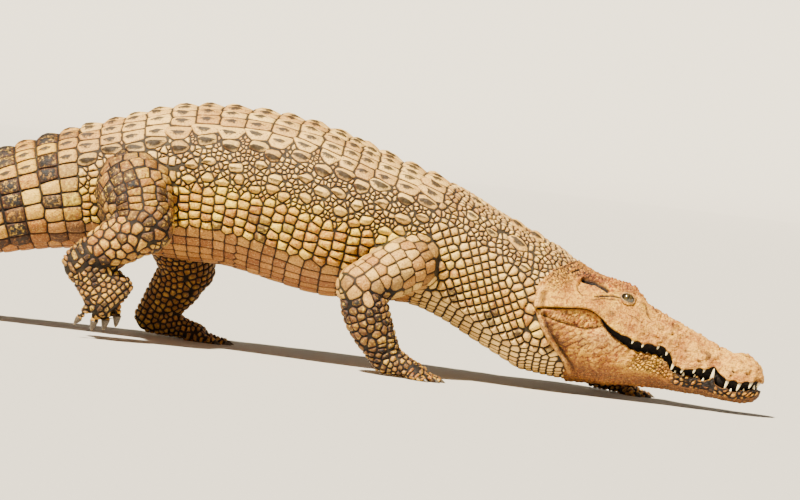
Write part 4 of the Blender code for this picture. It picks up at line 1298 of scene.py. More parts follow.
def collar(h, z):
    """The folds behind the angle of the jaw, on the hide's rear edge: relief, how deep in a groove, which
    the hide paints dark as shadow beside the fold, and how far up a ridge. Behind its edge the hide sinks
    under the neck's scales."""
    behind = behind_border(h, z)
    folded = (1 - smooth(0.035, 0.080, z)) * smooth(-0.165, -0.125, z)
    ridge = bump(behind, -0.012, 0.0085) * (1 - 0.35 * bump(behind, -0.012, 0.0016))
    groove = 0.95 * bump(behind, 0.001, 0.0062) + 0.62 * bump(behind, -0.0290, 0.0075)
    relief = folded * (0.0120 * ridge - 0.0080 * groove) - 0.016 * smooth(0.001, 0.012, behind)
    return relief, folded * np.minimum(groove, 1), folded * ridge


def noises(points, seed):
    """Noise at 4, 10 and 33 mm, each from -1 to 1."""
    return [lattice_noise(points * scale, seed + i) for i, scale in enumerate((250, 98, 30))]


def upper_relief(h, y, z, arc, points):
    """How far the hide of the upper head stands out, how deep in a crack it is, and its tints: a
    nearly smooth cheek, a knobbly snout, small scales on the skull's roof and behind the ear, and
    the creases and ridges drawn one by one."""
    side = np.abs(y)
    above_lip = z - line(MOUTH_LINE, h)
    fine, rough, swell = noises(points, 21)
    snout = 1 - smooth(0.30, 0.40, h)
    outer = smooth(0.048, 0.066, side)
    patch = smooth(-0.1, 0.5, lattice_noise(points * 17, 24))
    rear = smooth(-0.115, -0.030, behind_border(h, z)) * smooth(0.035, 0.085, z)
    roofed = smooth(0.40, 0.46, h) * smooth(0.108, 0.124, z)
    from_eye = np.hypot(h - 0.422, (z - 0.100) * 1.3)
    wrinkled = bump(from_eye, 0.030, 0.012) * outer
    small_share = np.clip(0.85 * rear + 0.80 * roofed + 0.30 * snout * patch + 0.30 * wrinkled, 0, 1)
    warp = 0.40 * lattice_noise(np.stack([h * 60, arc * 60], -1), 26)
    gap, tone = cracks(np.stack([h / 0.023 + warp, arc / 0.018 - warp], -1), 31)
    small_gap, small_tone = cracks(np.stack([h / 0.0105 + warp, arc / 0.0095], -1), 37)
    crack = (1 - small_share) * (1 - smooth(0.015, 0.08, gap)) * (0.16 + 0.40 * patch) * (1 - 0.6 * snout)
    crack = crack + small_share * (1 - smooth(0.05, 0.19, small_gap)) * 0.85
    relief = 0.0006 * fine + 0.0013 * rough + 0.0024 * swell
    relief += 0.0012 * smooth(0.0, 0.45, gap) + 0.0030 * small_share * smooth(0, 0.40, small_gap)
    lumpy = lattice_noise(points * 52, 28)
    relief += snout * (0.0040 * lumpy + 0.0020 * rough + 0.0012 * smooth(0, 0.4, small_gap))
    relief += 0.0011 * wrinkled * np.sin(from_eye * 950)
    # Lips: each tooth lifts a knob in the margin.
    lump = np.minimum(lumps(h, UPPER_LUMPS) / 0.005, 1.2)
    margin = bump(above_lip, 0.002, 0.011)
    relief += 0.0055 * lump * margin - 0.0022 * bump(above_lip, 0.026, 0.007) * (h < 0.44)
    # Between the lumps the lip's edge is painted dark, as shadow under the upper jaw's overhang.
    seams = (1 - np.minimum(lump, 1)) * bump(above_lip, -0.001, 0.009) * (h < 0.44)
    crack = np.maximum(crack, 0.65 * seams)
    # The ridge from the eye to the snout, the brow, and every crease.
    ridge = away_from(h, side, mm((395, 78), (330, 52), (240, 34), (160, 26)))
    relief += (0.0055 * bump(ridge, 0, 0.010) - 0.0030 * bump(ridge, 0.017, 0.006)) * (z > 0.03)
    brow = bump(away_from(h, z, BROW_PATH), 0, 0.013) * smooth(0.035, 0.050, side)
    canthus = bump(away_from(h, z, CANTHUS), 0, 0.010)
    relief += (0.0034 * rough + 0.0036 * smooth(0, 0.4, small_gap)) * np.maximum(brow, 0.7 * canthus)
    # A dark ring round the eye and a fainter one outside it: painted shade at the lids' edge and fold.
    ring = np.hypot((h - 0.4215) / 0.0195, (z - 0.0995) / 0.0135)
    crack = np.maximum(crack, (0.85 * bump(ring, 1.18, 0.10) + 0.50 * bump(ring, 1.75, 0.10)) * outer)
    # Each crease sinks and is painted dark as shade in its fold.
    for path, deep, wide, dark in CREASES:
        line_away = away_from(h, z, path)
        relief -= deep * bump(line_away, 0, wide) * outer
        crack = np.maximum(crack, dark * bump(line_away, 0, wide * 1.05) * outer)
    for path, high, wide in RIDGES:
        relief += high * bump(away_from(h, z, path), 0, wide) * outer
    # Pits of the snout and nostrils: a crescent slit in each half of the raised disc.
    pits = smooth(0.55, 0.75, lattice_noise(points * 75, 29)) * snout * (z > -0.01)
    slit_line = away_from(h, side, mm((56, 12), (63, 21), (75, 25)))
    nostril = bump(slit_line, 0, 0.0036) * (z > 0.02)
    spot = np.maximum(
        bump(away_from(h, z, mm((86, 4), (90, 6))), 0, 0.0034),
        bump(away_from(h, z, mm((48, 10), (50, 12))), 0, 0.0030),
    )
    relief -= 0.0026 * pits + 0.0075 * nostril + 0.0020 * spot
    crack = np.maximum.reduce([crack, nostril, 0.55 * pits, 0.9 * spot])
    folds, groove, pale_ridge = collar(h, z)
    # The collar's grooves and a line at the mouth's corner, where the lips meet, are painted dark as shade.
    corner = bump(above_lip, 0.0, 0.0022) * smooth(0.46, 0.49, h) * (1 - smooth(0.625, 0.640, h))
    crack = np.maximum(crack * (1 - pale_ridge * 0.6), np.maximum(groove, 0.55 * corner))
    relief += folds - 0.0006 * corner + 0.0050 * bump(above_lip, 0.013, 0.009) * smooth(0.47, 0.50, h)
    spots = bump(h, 0.455, 0.024) * bump(z, 0.055, 0.010)
    spots *= smooth(0.05, 0.35, lattice_noise(points * 130, 33))
    flap = bump(away_from(h, z, RIDGES[0][0]), 0, 0.0075) * outer
    red_line = away_from(h, z, mm((545, 103), (505, 98), (478, 106)))
    stains = smooth(0.30, 0.62, lattice_noise(points * 62, 34))
    red = np.maximum.reduce([
        0.85 * brow, 0.80 * flap, 0.60 * canthus * (0.4 + stains), 0.80 * bump(red_line, 0, 0.006) * outer,
    ])
    at_lip = 1 - smooth(0.0, 0.03, above_lip)
    dark = spots + 0.35 * roofed * smooth(0.1, 0.7, rough) + 0.60 * canthus * stains
    dark += 0.22 * rear * smooth(0.0, 0.6, rough)
    dark += 0.55 * snout * smooth(0.45, 0.80, -rough - 0.3 * lumpy)
    dark += 0.30 * outer * smooth(0.50, 0.9, rough + 0.5 * swell)
    tones = 0.30 * tone * (1 - small_share) + 0.30 * small_tone * small_share
    bleached = (0.20 + 0.26 * snout + 0.25 * rough) * (1 - 0.8 * roofed) * (1 - 0.4 * rear)
    rust = red + 0.55 * roofed * (0.6 + 0.4 * swell) + 0.32 * stains
    tint = {
        "tone": tones + 0.70 * (0.50 + 0.9 * swell),
        "ochre": 0.70 + 0.25 * swell + 0.20 * at_lip - 0.22 * snout - 0.3 * roofed,
        "pale": bleached + 0.9 * pale_ridge,
        "pink": 0.06 + 0.20 * snout * smooth(0.0, 0.7, lumpy) + 0.25 * roofed,
        "dark": dark,
        "rust": rust + 0.15 * snout * smooth(0, 0.6, -lumpy),
    }
    return relief, crack, on_ridge(tint, pale_ridge)


def lower_relief(h, y, z, arc, points):
    """The same for the lower jaw: knobs along its lip, with painted highlights on their upper parts, pale
    rough warts below them, a smooth bulge at the mouth's corner, veined hide behind it, a hollow painted
    dark as shade, and fine scales underneath, with the lower side and chin painted darker as shade."""
    top = line(MOUTH_LINE, h) - line(GAPE_LINE, h)
    chin = line(CHIN_LINE, h)
    drop = np.clip((top - z) / (top - chin), 0, 1)
    fine, rough, swell = noises(points, 41)
    patch = smooth(-0.2, 0.5, lattice_noise(points * 20, 44))
    front = 1 - smooth(0.225, 0.270, h)
    under = np.maximum(smooth(-0.106, -0.122, z) * smooth(0.33, 0.40, h), smooth(0.62, 0.80, drop))
    upright = 1 - under
    warp = 0.40 * lattice_noise(np.stack([h * 55, arc * 55], -1), 45)
    gap, tone = cracks(np.stack([h / 0.027 + warp, arc / 0.023 - warp], -1), 51)
    small_gap, small_tone = cracks(np.stack([h / 0.0088 + warp, arc / 0.0084 - warp], -1), 57, 1.0)
    seam_gap = cracks(np.stack([h / 0.0150 + warp, arc / 0.0125 - warp], -1), 59, 1.0)[0]
    under_gap, under_tone = cracks(np.stack([h / 0.0135, arc / 0.0110], -1), 63)
    relief = 0.0006 * fine + 0.0012 * rough + 0.0022 * swell + 0.0010 * smooth(0, 0.4, gap)
    # Behind: thin veins. Middle: warts. Front: knobs with seams between them.
    veined = smooth(0.36, 0.42, h) * upright
    vein = 1 - smooth(0.02, 0.12, gap)
    crack = vein * veined * (0.30 + 0.35 * patch)
    warts = smooth(0.235, 0.265, h) * (1 - smooth(0.345, 0.395, h))
    warts = warts * (1 - smooth(0.42, 0.62, drop)) * upright
    relief += 0.0052 * warts * smooth(0, 0.42, small_gap)
    crack = np.maximum(crack * (1 - warts), 0.70 * warts * (1 - smooth(0.03, 0.30, small_gap)))
    knobbed = front * upright * (1 - smooth(0.55, 0.75, drop))
    relief += 0.0050 * knobbed * smooth(0, 0.40, seam_gap)
    crack = np.maximum(crack, 0.95 * knobbed * (1 - smooth(0.05, 0.34, seam_gap)))
    relief += 0.0016 * under * smooth(0, 0.35, under_gap)
    crack = np.maximum(crack, 0.62 * under * (1 - smooth(0.03, 0.16, under_gap)))
    lump = np.minimum(lumps(h, LOWER_LUMPS) / 0.006, 1.2)
    lip = np.exp(-((drop / 0.16) ** 2))
    relief += 0.0055 * lump * lip
    # The same painted shadow along the lower lip between its lumps.
    crack = np.maximum(crack, 0.75 * (1 - np.minimum(lump, 1)) * lip * (1 - smooth(0.38, 0.41, h)))
    bulge = bump(h, 0.462, 0.040) * bump(z, -0.022, 0.024)
    relief += 0.0060 * bulge
    crack *= 1 - 0.7 * bulge
    # The scaly web at the mouth's corner, over the fold that bounds it, and the hollow below, painted dark
    # as shade.
    web_line = mm((640, -14), (589, -17), (548, -17), (508, -14), (480, 0), (462, 14))
    fold = away_from(h, z, web_line)
    web = smooth(-0.002, 0.004, z - np.interp(h, *zip(*web_line[::-1]))) * smooth(0.462, 0.475, h)
    relief -= 0.0055 * bump(fold, 0, 0.0036) + 0.0030 * web * (1 - smooth(0, 0.3, small_gap))
    crack = np.maximum(crack * (1 - web), 0.55 * web * (1 - smooth(0.04, 0.16, small_gap)))
    crack = np.maximum(crack, 0.80 * bump(fold, 0, 0.0030) * smooth(0.455, 0.47, h))
    hollow_line = mm((644, -28), (604, -50), (572, -78), (550, -100))
    hollow = bump(away_from(h, z, hollow_line), 0, 0.024)
    beads = bump(h, 0.575, 0.040) * bump(z, -0.112, 0.016)
    relief -= 0.0070 * hollow
    folds, groove, pale_ridge = collar(h, z)
    # The collar's grooves and a line at the mouth's corner, where the lips meet, are painted dark as shade.
    corner = (1 - smooth(0.0, 0.004, top - z)) * smooth(0.47, 0.49, h) * (1 - smooth(0.625, 0.640, h))
    crack = np.maximum(crack * (1 - pale_ridge * 0.6), np.maximum(groove, 0.5 * corner))
    relief += folds
    mottle = smooth(-0.05, 0.45, lattice_noise(points * 46, 46))
    below = smooth(0.45, 0.75, drop) * (1 - smooth(0.40, 0.46, h)) * upright
    tones = 0.35 * np.where(under > 0.5, under_tone, tone) + 0.65 * (0.50 + 0.80 * swell)
    pale = 0.80 * warts * smooth(0.10, 0.34, small_gap) * (0.5 + small_tone) + 0.85 * bulge
    pale += 0.9 * pale_ridge + 0.22 * veined * patch * (1 - hollow) + 0.3 * web
    # The hollow is painted dark as shade, with some grime.
    dark = hollow * (0.8 + 0.6 * rough) + 0.75 * beads
    dark += 0.42 * veined * smooth(0.25, 0.75, swell + 0.4 * rough)
    dark += 0.40 * knobbed * smooth(-0.1, 0.5, rough)
    # The jaw's lower side and chin are painted darker as shade.
    dark += (0.45 + 0.40 * (1 - smooth(0.10, 0.22, h))) * below
    dark += under * (0.26 + 0.26 * smooth(-0.2, 0.6, rough) + 0.38 * (1 - smooth(0.20, 0.36, h)))
    rust = 0.95 * veined * vein * (1 - bulge) + 0.45 * veined * mottle + 0.55 * hollow + 0.70 * below
    tint = {
        "tone": tones + 0.15 * warts + 0.5 * bulge,
        "ochre": (0.72 + 0.35 * mottle * veined + 0.20 * knobbed) * upright * (1 - 0.3 * bulge),
        # Painted highlights on the upper part of each knob.
        "pale": pale + 0.7 * knobbed * smooth(0.25, 0.5, seam_gap) * (drop < 0.4),
        "pink": 0.85 * under * (0.5 + 0.5 * under_tone) + 0.45 * below,
        "dark": dark,
        "rust": rust + 0.45 * knobbed * mottle + under * (0.20 + 0.25 * (under_tone > 0.5)),
    }
    return relief, crack, on_ridge(tint, pale_ridge)


def on_ridge(tint, ridge):
    """The tints with a ridge bleached: no stain, and the palest tone."""
    left = 1 - np.clip(0.95 * ridge, 0, 1)
    stained = {key: tint[key] * left for key in ("dark", "rust", "pink", "ochre")}
    return {**tint, **stained, "tone": tint["tone"] + 0.8 * ridge}


HIDE_ROWS = 345
HIDE_OVERLAP = 0.034  # how far the hide runs on under the neck's scales


def make_hide(rings, relief, shown):
    """One jaw's closed hide: its rings at many stations, closer at the snout, pushed out along their
    normals by the relief where they face outwards. shown is a slice of the columns that do."""
    rows = HIDE_ROWS
    h = 0.0015 + (HEAD_LENGTH + HIDE_OVERLAP) * np.linspace(0, 1, rows) ** 1.10
    y, z = rings(np.minimum(h, HEAD_LENGTH))
    grid = head_point(h[:, None], y, z)
    step_along = np.gradient(grid, axis=0)
    step_round = np.roll(grid, -1, 1) - np.roll(grid, 1, 1)
    normal = unit(np.cross(step_round, step_along))
    if (normal[rows // 2] * (grid[rows // 2] - grid[rows // 2].mean(0))).sum() < 0:
        normal = -normal
    gap = np.linalg.norm(np.diff(grid[:, shown], axis=1), axis=2)
    run = np.concatenate([np.zeros((rows, 1)), np.cumsum(gap, axis=1)], axis=1)
    arc = run - run[:, -1:] / 2
    columns = np.arange(grid.shape[1])[shown]
    back = np.repeat(h[:, None], len(columns), 1)
    outward, crack, tint = relief(back, y[:, columns], z[:, columns], np.abs(arc), grid[:, columns])
    edge = np.minimum(np.arange(len(columns)), np.arange(len(columns))[::-1])
    outward = outward * np.clip(edge / 2, 0, 1) * smooth(0.0, 0.010, h)[:, None]
    grid[:, columns] += normal[:, columns] * (outward + 0.0006)[..., None]
    attributes = {}
    for key, value in {"rim": crack, "soil": 1.0, **tint}.items():
        full = np.zeros(grid.shape[:2])
        full[:, columns] = np.clip(np.broadcast_to(value, crack.shape), 0, 1)
        attributes[key] = full
    # The lining inside the mouth is painted dark as shade, fully in front of the mouth's corner.
    lining = np.ones(grid.shape[1], bool)
    lining[columns] = False
    attributes["dark"][:, lining] = (1 - 0.80 * smooth(0.450, 0.490, h))[:, None]
    return h, grid, attributes


def hide_piece(name, h, grid, attributes, material):
    """The hide as a mesh, unrolled for its unwrap along h and round the ring."""
    values = {key: with_ends(value, value[0, 0], value[-1, 0]) for key, value in attributes.items()}
    around = np.linspace(0.01, 0.99, grid.shape[1])
    uv = np.stack(np.broadcast_arrays(0.01 + 0.98 * (h / h[-1])[:, None], around[None]), -1).reshape(-1, 2)
    uv = np.concatenate([uv, [[0.0, 0.5], [1.0, 0.5]]])
    return make_mesh(name, *joined([grid], True), material, values, uv)


def lid_margin(side, material):
    """The rolled edge of one eye's lids: a thin tube that follows the opening over the eyeball."""
    centre, gaze, long_way, upright = eye_frame(side)
    turn = np.linspace(0, 2 * math.pi, 97)[:-1]
    angle = opening(turn)[:, None]
    way = gaze * np.cos(angle) + (
        long_way * np.cos(turn)[:, None] + upright * np.sin(turn)[:, None]
    ) * np.sin(angle)
    path = centre + way * (EYE_RADIUS + 0.0010)
    along = unit(np.roll(path, -1, 0) - np.roll(path, 1, 0))
    side_way = np.cross(along, way)
    round_turn = np.linspace(0, 2 * math.pi, 11)[:-1]
    grid = (
        path[:, None]
        + 0.0017 * np.cos(round_turn)[None, :, None] * side_way[:, None]
        + 0.0014 * np.sin(round_turn)[None, :, None] * way[:, None]
    )
    index = np.arange(grid.shape[0] * grid.shape[1]).reshape(grid.shape[:2])
    faces = np.stack([
        index, np.roll(index, -1, 1), np.roll(np.roll(index, -1, 0), -1, 1), np.roll(index, -1, 0),
    ], -1).reshape(-1, 4)
    return make_mesh("right_lids" if side < 0 else "left_lids", grid, faces, material)


def make_eye(side, material):
    """An eyeball with a slightly bulging cornea, its poles on the gaze. Two attributes carry how far
    each point lies from the gaze, and how far off the upright slit of the pupil."""
    centre, gaze, long_way, upright = eye_frame(side)
    angle = np.linspace(0.01, math.pi - 0.01, 40)[:, None]
    turn = np.linspace(0, 2 * math.pi, 65)[None, :-1]
    across, high = np.sin(angle) * np.cos(turn), np.sin(angle) * np.sin(turn)
    way = (
        gaze * np.cos(angle)[..., None] * np.ones_like(turn)[..., None]
        + long_way * across[..., None] + upright * high[..., None]
    )
    radius = EYE_RADIUS * (1 - 0.03 + 0.03 * bump(angle, 0, 0.55))
    grid = centre + way * (radius * np.ones_like(turn))[..., None]
    attributes = {
        "look": with_ends(np.broadcast_to(angle, grid.shape[:2]), 0.0, math.pi),
        "slit": with_ends(np.abs(across), 0.0, 0.0),
    }
    return make_mesh("right_eyeball" if side < 0 else "left_eyeball", *joined([grid]), material, attributes)


ROOT_DEPTH = 0.006  # how deep a tooth's foot stands in the gum


def make_teeth(name, teeth, upper, material):
    """One jaw's teeth: curved cones whose radius falls with the root of 1 - share^1.6, from a round
    foot inside the gum to a blunt point, each leaning a little outwards and back."""
    share = np.array([0.0, 0.25, 0.5, 0.72, 0.88, 0.97, 1.0])[:, None]
    turn = np.linspace(0, 2 * math.pi, 11)[None, :-1]
    if upper:
        sides, inset, way, backwards = WIDTH_LINE, 0.0052, -1, 0.10
    else:
        sides, inset, way, backwards = JAW_WIDTH_LINE, 0.0050, 1, 0.06
    grids = []
    for side in (-1, 1):
        for h, length in teeth:
            width = line(sides, h) - inset
            root = line(MOUTH_LINE, h) - (0.0 if upper else line(GAPE_LINE, h))
            size = (0.0026 + 0.075 * length) * np.sqrt(np.maximum(1 - share**1.6, 0)) * 1.15
            z = root + way * (share * (length + ROOT_DEPTH) - ROOT_DEPTH)
            lean = side * (0.0020 * np.sin(share * 2.2))
            back = backwards * length * share**2
            grids.append(head_point(
                h + back + size * np.cos(turn), side * width + lean + size * np.sin(turn) * 0.8,
                z + 0 * turn,
            ))
    along = np.tile(with_ends(np.repeat(share, turn.size), 0.0, 1.0), len(grids))
    return make_mesh(name, *joined(grids, not upper), material, {"along": along})


CLAW_START = 0.74  # the share of a digit's length where its claw starts, inside the flesh


def make_claws(name, limb, material):
    """A paw's claws: flattened cones that curl down, from inside each digit's end to a worn point.
    Their radius falls with (1 - share)^0.6."""
    grids, shares = [], []
    turn = np.linspace(0, 2 * math.pi, 13)[:-1]
    stout = 0.80 if limb == "right_hind" else 0.56
    for base, way, over, size, thick, bend in PAW_FRAMES[limb].digits:
        middles, ways, backs, t = digit_line(base, way, over, size, bend, 1.0)
        kept = t >= CLAW_START
        middles, ways, backs, share = middles[kept], ways[kept], backs[kept], (t[kept] - CLAW_START) / 0.26
        radius = (thick * stout * (1 - share) ** 0.6 + 0.0006)[:, None]
        middles = middles - backs * (share**2 * thick * 0.35)[:, None] + backs * thick * 0.12
        side = unit(np.cross(backs, ways))
        grids.append(
            middles[:, None]
            + (radius * np.cos(turn))[..., None] * side[:, None] * 0.80
            + (radius * np.sin(turn))[..., None] * backs[:, None]
        )
        shares.append(with_ends(np.repeat(share, len(turn)), 0.0, 1.0))
    return make_mesh(name, *joined(grids), material, {"along": np.concatenate(shares)})


# ---------------------------------------------------------------- finishes
# Short names of nodes: the node, its fixed settings, the inputs that are fed in order, its output.
# Any other name is the operation of a Math node.
KINDS = {
    "attribute": ("ShaderNodeAttribute", {}, (), "Fac"),
    "place": ("ShaderNodeTexCoord", {}, (), "Object"),
    "noise": ("ShaderNodeTexNoise", {}, ("Vector", "Scale", "Detail", "Roughness"), 0),
    "mix": ("ShaderNodeMix", {"data_type": "RGBA"}, (0, 6, 7), 2),
    "soak": ("ShaderNodeMix", {"data_type": "RGBA", "blend_type": "MULTIPLY"}, (0, 6, 7), 2),
    "step": ("ShaderNodeMapRange", {"interpolation_type": "SMOOTHSTEP"}, (0, 1, 2), 0),
    "stretch": ("ShaderNodeMapRange", {}, (0, 3, 4), 0),
    "bump": ("ShaderNodeBump", {}, ("Height", "Strength", "Distance"), 0),
}


def linear(code):
    """An sRGB hex colour as the linear colour that shaders take."""
    parts = np.array([int(code[i:i + 2], 16) for i in (1, 3, 5)]) / 255
    parts = np.where(parts <= 0.04045, parts / 12.92, ((parts + 0.055) / 1.055) ** 2.4)
    return (*parts.tolist(), 1.0)


def add(tree, kind, *feeds, **settings):
    """Adds a node of a kind with its settings and returns its output. Each feed goes to the kind's
    next input: a socket is linked to it, and a number or a hex colour is set on it."""
    node, fixed, inputs, output = KINDS.get(kind, ("ShaderNodeMath", {"operation": kind}, (0, 1), 0))
    made = tree.nodes.new(node)
    for key, value in {**fixed, **settings}.items():
        setattr(made, key, value)
    for where, feed in zip(inputs, feeds):
        if isinstance(feed, bpy.types.NodeSocket):
            tree.links.new(feed, made.inputs[where])
        else:
            made.inputs[where].default_value = linear(feed) if isinstance(feed, str) else feed
    return made.outputs[output]


def wear(tree, **feeds):
    """Feeds the Principled shader's inputs with sockets or numbers."""
    shader = tree.nodes["Principled BSDF"]
    for key, feed in feeds.items():
        where = shader.inputs[key.replace("_", " ")]
        if isinstance(feed, bpy.types.NodeSocket):
            tree.links.new(feed, where)
        else:
            where.default_value = feed


def blank(name, roughness, specular, **feeds):
    """A material whose Principled shader has a constant finish, and its tree."""
    material = bpy.data.materials.new(name)
    material.use_nodes = True
    wear(material.node_tree, Roughness=roughness, Specular_IOR_Level=specular, **feeds)
    return material, material.node_tree


def hide_colour(tree, grime):
    """The animal's colours from its markings. Returns the colour before its grooves are darkened, the
    noises that break it up (grain of about 2 mm, flecks of 4 mm, mottling of 9 mm, clouds of 60 mm)
    and the markings. Each colour covers the ones before it by its own share."""
    place = add(tree, "place")
    tint = {key: add(tree, "attribute", attribute_name=key) for key in TINTS}
    sizes = {"grain": (520, 2), "fleck": (240, 3), "mottle": (110, 4), "cloud": (16, 3)}
    noise = {name: add(tree, "noise", place, *size, 0.65) for name, size in sizes.items()}

    def toned(dark, light):
        """A colour between two by the scale's own tone."""
        return add(tree, "mix", tint["tone"], dark, light)

    def patches(name, low, high, share):
        """A share in the patches where a noise lies past low, with soft edges as far as high."""
        return add(tree, "MULTIPLY", add(tree, "step", noise[name], low, high), share)

    colour = toned("#9A7038", "#E0BC76")
    ochre = add(tree, "mix", patches("mottle", 0.50, 0.66, 0.75), toned("#CC950E", "#FFE640"), "#A8540C")
    for share, over in (
        (tint["ochre"], ochre),
        (tint["pale"], toned("#C1955F", "#FFE0AE")),
        (tint["pink"], toned("#84481C", "#B67A3E")),
        (patches("mottle", 0.34, 0.54, tint["rust"]), toned("#783204", "#B05A0F")),
        (patches("fleck", 0.54, 0.67, 0.72), "#4A2207"),
        (patches("fleck", 0.46, 0.34, 0.42), "#FFE2A8"),
        (patches("mottle", 0.28, 0.52, tint["dark"]), "#140E0A"),
        (patches("cloud", 0.50, 0.72, grime), "#74420F"),
    ):
        colour = add(tree, "mix", share, colour, over)
    return colour, noise, tint


def keel_shadow_and_dirt(tree, ragged):
    """Painted shadow under a keel, with some dirt in it: a flat half-moon that hangs from the keel,
    small on a keeled scute and over most of the lower side of a stout one. At place u along the keel
    it hangs by high (1 - ((u + back) / long)^2), made ragged by a noise."""
    local = {key: add(tree, "attribute", attribute_name=key) for key in LOCAL}
    stout = add(tree, "GREATER_THAN", local["keeled"], 1.2)
    shaken = add(tree, "MULTIPLY", add(tree, "SUBTRACT", ragged, 0.5), 0.9)
    down = add(tree, "ADD", local["downwards"], shaken)
    keel_shadows = []
    for high, long, back in ((0.62, 0.72, 0.16), (0.95, 0.92, 0.08)):
        along = add(tree, "DIVIDE", add(tree, "ADD", local["lengthways"], back), long)
        hang = add(tree, "MAXIMUM", add(tree, "SUBTRACT", 1.0, add(tree, "MULTIPLY", along, along)), 0.02)
        share = add(tree, "DIVIDE", down, add(tree, "MULTIPLY", hang, high))
        below = add(tree, "step", local["downwards"], -0.02, 0.07)
        keel_shadows.append(add(tree, "MULTIPLY", add(tree, "step", share, 1.05, 0.45), below))
    small = add(tree, "MULTIPLY", keel_shadows[0], add(tree, "SUBTRACT", 1.0, stout))
    keel_shadow = add(tree, "ADD", small, add(tree, "MULTIPLY", keel_shadows[1], stout))
    return add(tree, "MULTIPLY", keel_shadow, add(tree, "MINIMUM", local["keeled"], 1.0)), local["rim"]


def scale_material(name, rim_range, keel_shaded, wash, relief):
    """Keratin scales: dry, matt horn with a faint sheen on worn edges and fine wrinkles, painted darker
    towards the groove round each as shade and dirt. rim_range says at what rim value the darkest
    colour starts and where it is thickest, wash the colour that soaks the whole, and relief the
    wrinkles' depth."""
    material, tree = blank(name, 0.55, 0.35)
    colour, noise, tint = hide_colour(tree, 0.22)
    if keel_shaded:
        keel_shadow, rim = keel_shadow_and_dirt(tree, noise["mottle"])
        # Painted shadow under each keel, with some dirt, near black.
        colour = add(tree, "mix", add(tree, "MULTIPLY", keel_shadow, 0.94), colour, "#1A1009")
    else:
        rim = add(tree, "attribute", attribute_name="rim")
        for grain, low, high, share, over in (
            ("mottle", 0.49, 0.58, 0.46, "#6E3A10"), ("grain", 0.54, 0.68, 0.40, "#FFE6B4"),
        ):
            patches = add(tree, "MULTIPLY", add(tree, "step", noise[grain], low, high), share)
            colour = add(tree, "mix", patches, colour, over)
    colour = add(tree, "soak", 1.0, colour, wash)
    # Brown towards each plate's rim: painted shade round its edge, partly the edge's own brown.
    stain = add(tree, "MULTIPLY", add(tree, "step", rim, 0.25, 0.95), tint["soil"])
    colour = add(tree, "mix", add(tree, "MULTIPLY", stain, 0.78), colour, "#5C2E05")
    # Near black at the rim: painted shade and dirt in the groove.
    groove_shade_and_dirt = add(tree, "MULTIPLY", add(tree, "step", rim, *rim_range), tint["soil"])
    colour = add(tree, "mix", groove_shade_and_dirt, colour, "#0A0301")
    height = add(tree, "ADD", add(tree, "MULTIPLY", noise["fleck"], 0.6), noise["mottle"])
    wear(
        tree, Base_Color=colour, Roughness=add(tree, "stretch", noise["grain"], 0.42, 0.72),
        Normal=add(tree, "bump", height, 1.0, relief),
    )
    return material


def skin_material():
    """Bare skin between the scales: the same markings, painted near black as shade and dirt in the gaps
    where the grooves are darkest.
    """
    material, tree = blank("groove_skin", 0.75, 0.25)
    colour, noise, tint = hide_colour(tree, 0.3)
    # Painted shade and dirt: near black in the gaps wherever the groove weight is high.
    gap_shade_and_dirt = add(tree, "stretch", tint["soil"], 0.90, 0.97)
    wear(
        tree, Base_Color=add(tree, "mix", gap_shade_and_dirt, colour, "#080301"),
        Normal=add(tree, "bump", noise["mottle"], 0.9, 0.0015),
    )
    return material


def eye_material():
    """A wet eye: an olive-bronze iris flecked with black round an upright slit, under a clear glaze, painted
    darker towards the lids as shade.
    """
    material, tree = blank("wet_eye", 0.08, 0.5, Coat_Weight=1.0, Coat_Roughness=0.03)
    look, slit = (add(tree, "attribute", attribute_name=key) for key in ("look", "slit"))
    fleck = add(tree, "noise", add(tree, "place"), 900, 4)
    colour = add(tree, "mix", add(tree, "step", fleck, 0.35, 0.65), "#1E1709", "#54431F")
    # Darker towards the lids' edge: painted shade where they overhang the ball.
    colour = add(tree, "mix", add(tree, "step", look, 0.46, 0.70), colour, "#0C0804")
    narrow = add(tree, "ADD", slit, add(tree, "MULTIPLY", look, 0.16))
    wear(tree, Base_Color=add(tree, "mix", add(tree, "step", narrow, 0.13, 0.08), colour, "#050403"))
    return material


def lid_material():
    """The lids' bare edge: pale, thin, slightly greasy skin."""
    material, tree = blank("lid_skin", 0.45, 0.4)
    mottle = add(tree, "noise", add(tree, "place"), 420, 3)
    wear(
        tree, Base_Color=add(tree, "mix", add(tree, "step", mottle, 0.35, 0.7), "#A37C48", "#5C4023"),
        Normal=add(tree, "bump", mottle, 0.5, 0.0006),
    )
    return material


def tooth_material():
    """Worn enamel: ivory at the point, stained yellow brown at the gum, half polished."""
    material, tree = blank("tooth_enamel", 0.28, 0.5)
    stain = add(tree, "noise", add(tree, "place"), 300, 3)
    along = add(tree, "attribute", attribute_name="along")
    share = add(tree, "ADD", along, add(tree, "MULTIPLY", stain, 0.5))
    wear(
        tree, Base_Color=add(tree, "mix", add(tree, "step", share, 0.30, 0.85), "#6B4517", "#E4D4A6"),
        Normal=add(tree, "bump", stain, 0.25, 0.0004),
    )
    return material


def claw_material():
    """Claw horn: dark, dull, streaked, worn paler at the point."""
    material, tree = blank("claw_horn", 0.42, 0.4)
    streak = add(tree, "noise", add(tree, "place"), 380, 4)
    colour = add(tree, "mix", add(tree, "step", streak, 0.35, 0.65), "#2B241C", "#5B4C38")
    worn = add(tree, "step", add(tree, "attribute", attribute_name="along"), 0.70, 1.0)
    wear(
        tree, Base_Color=add(tree, "mix", worn, colour, "#8A7A5E"),
        Normal=add(tree, "bump", streak, 0.5, 0.0006),
    )
    return material


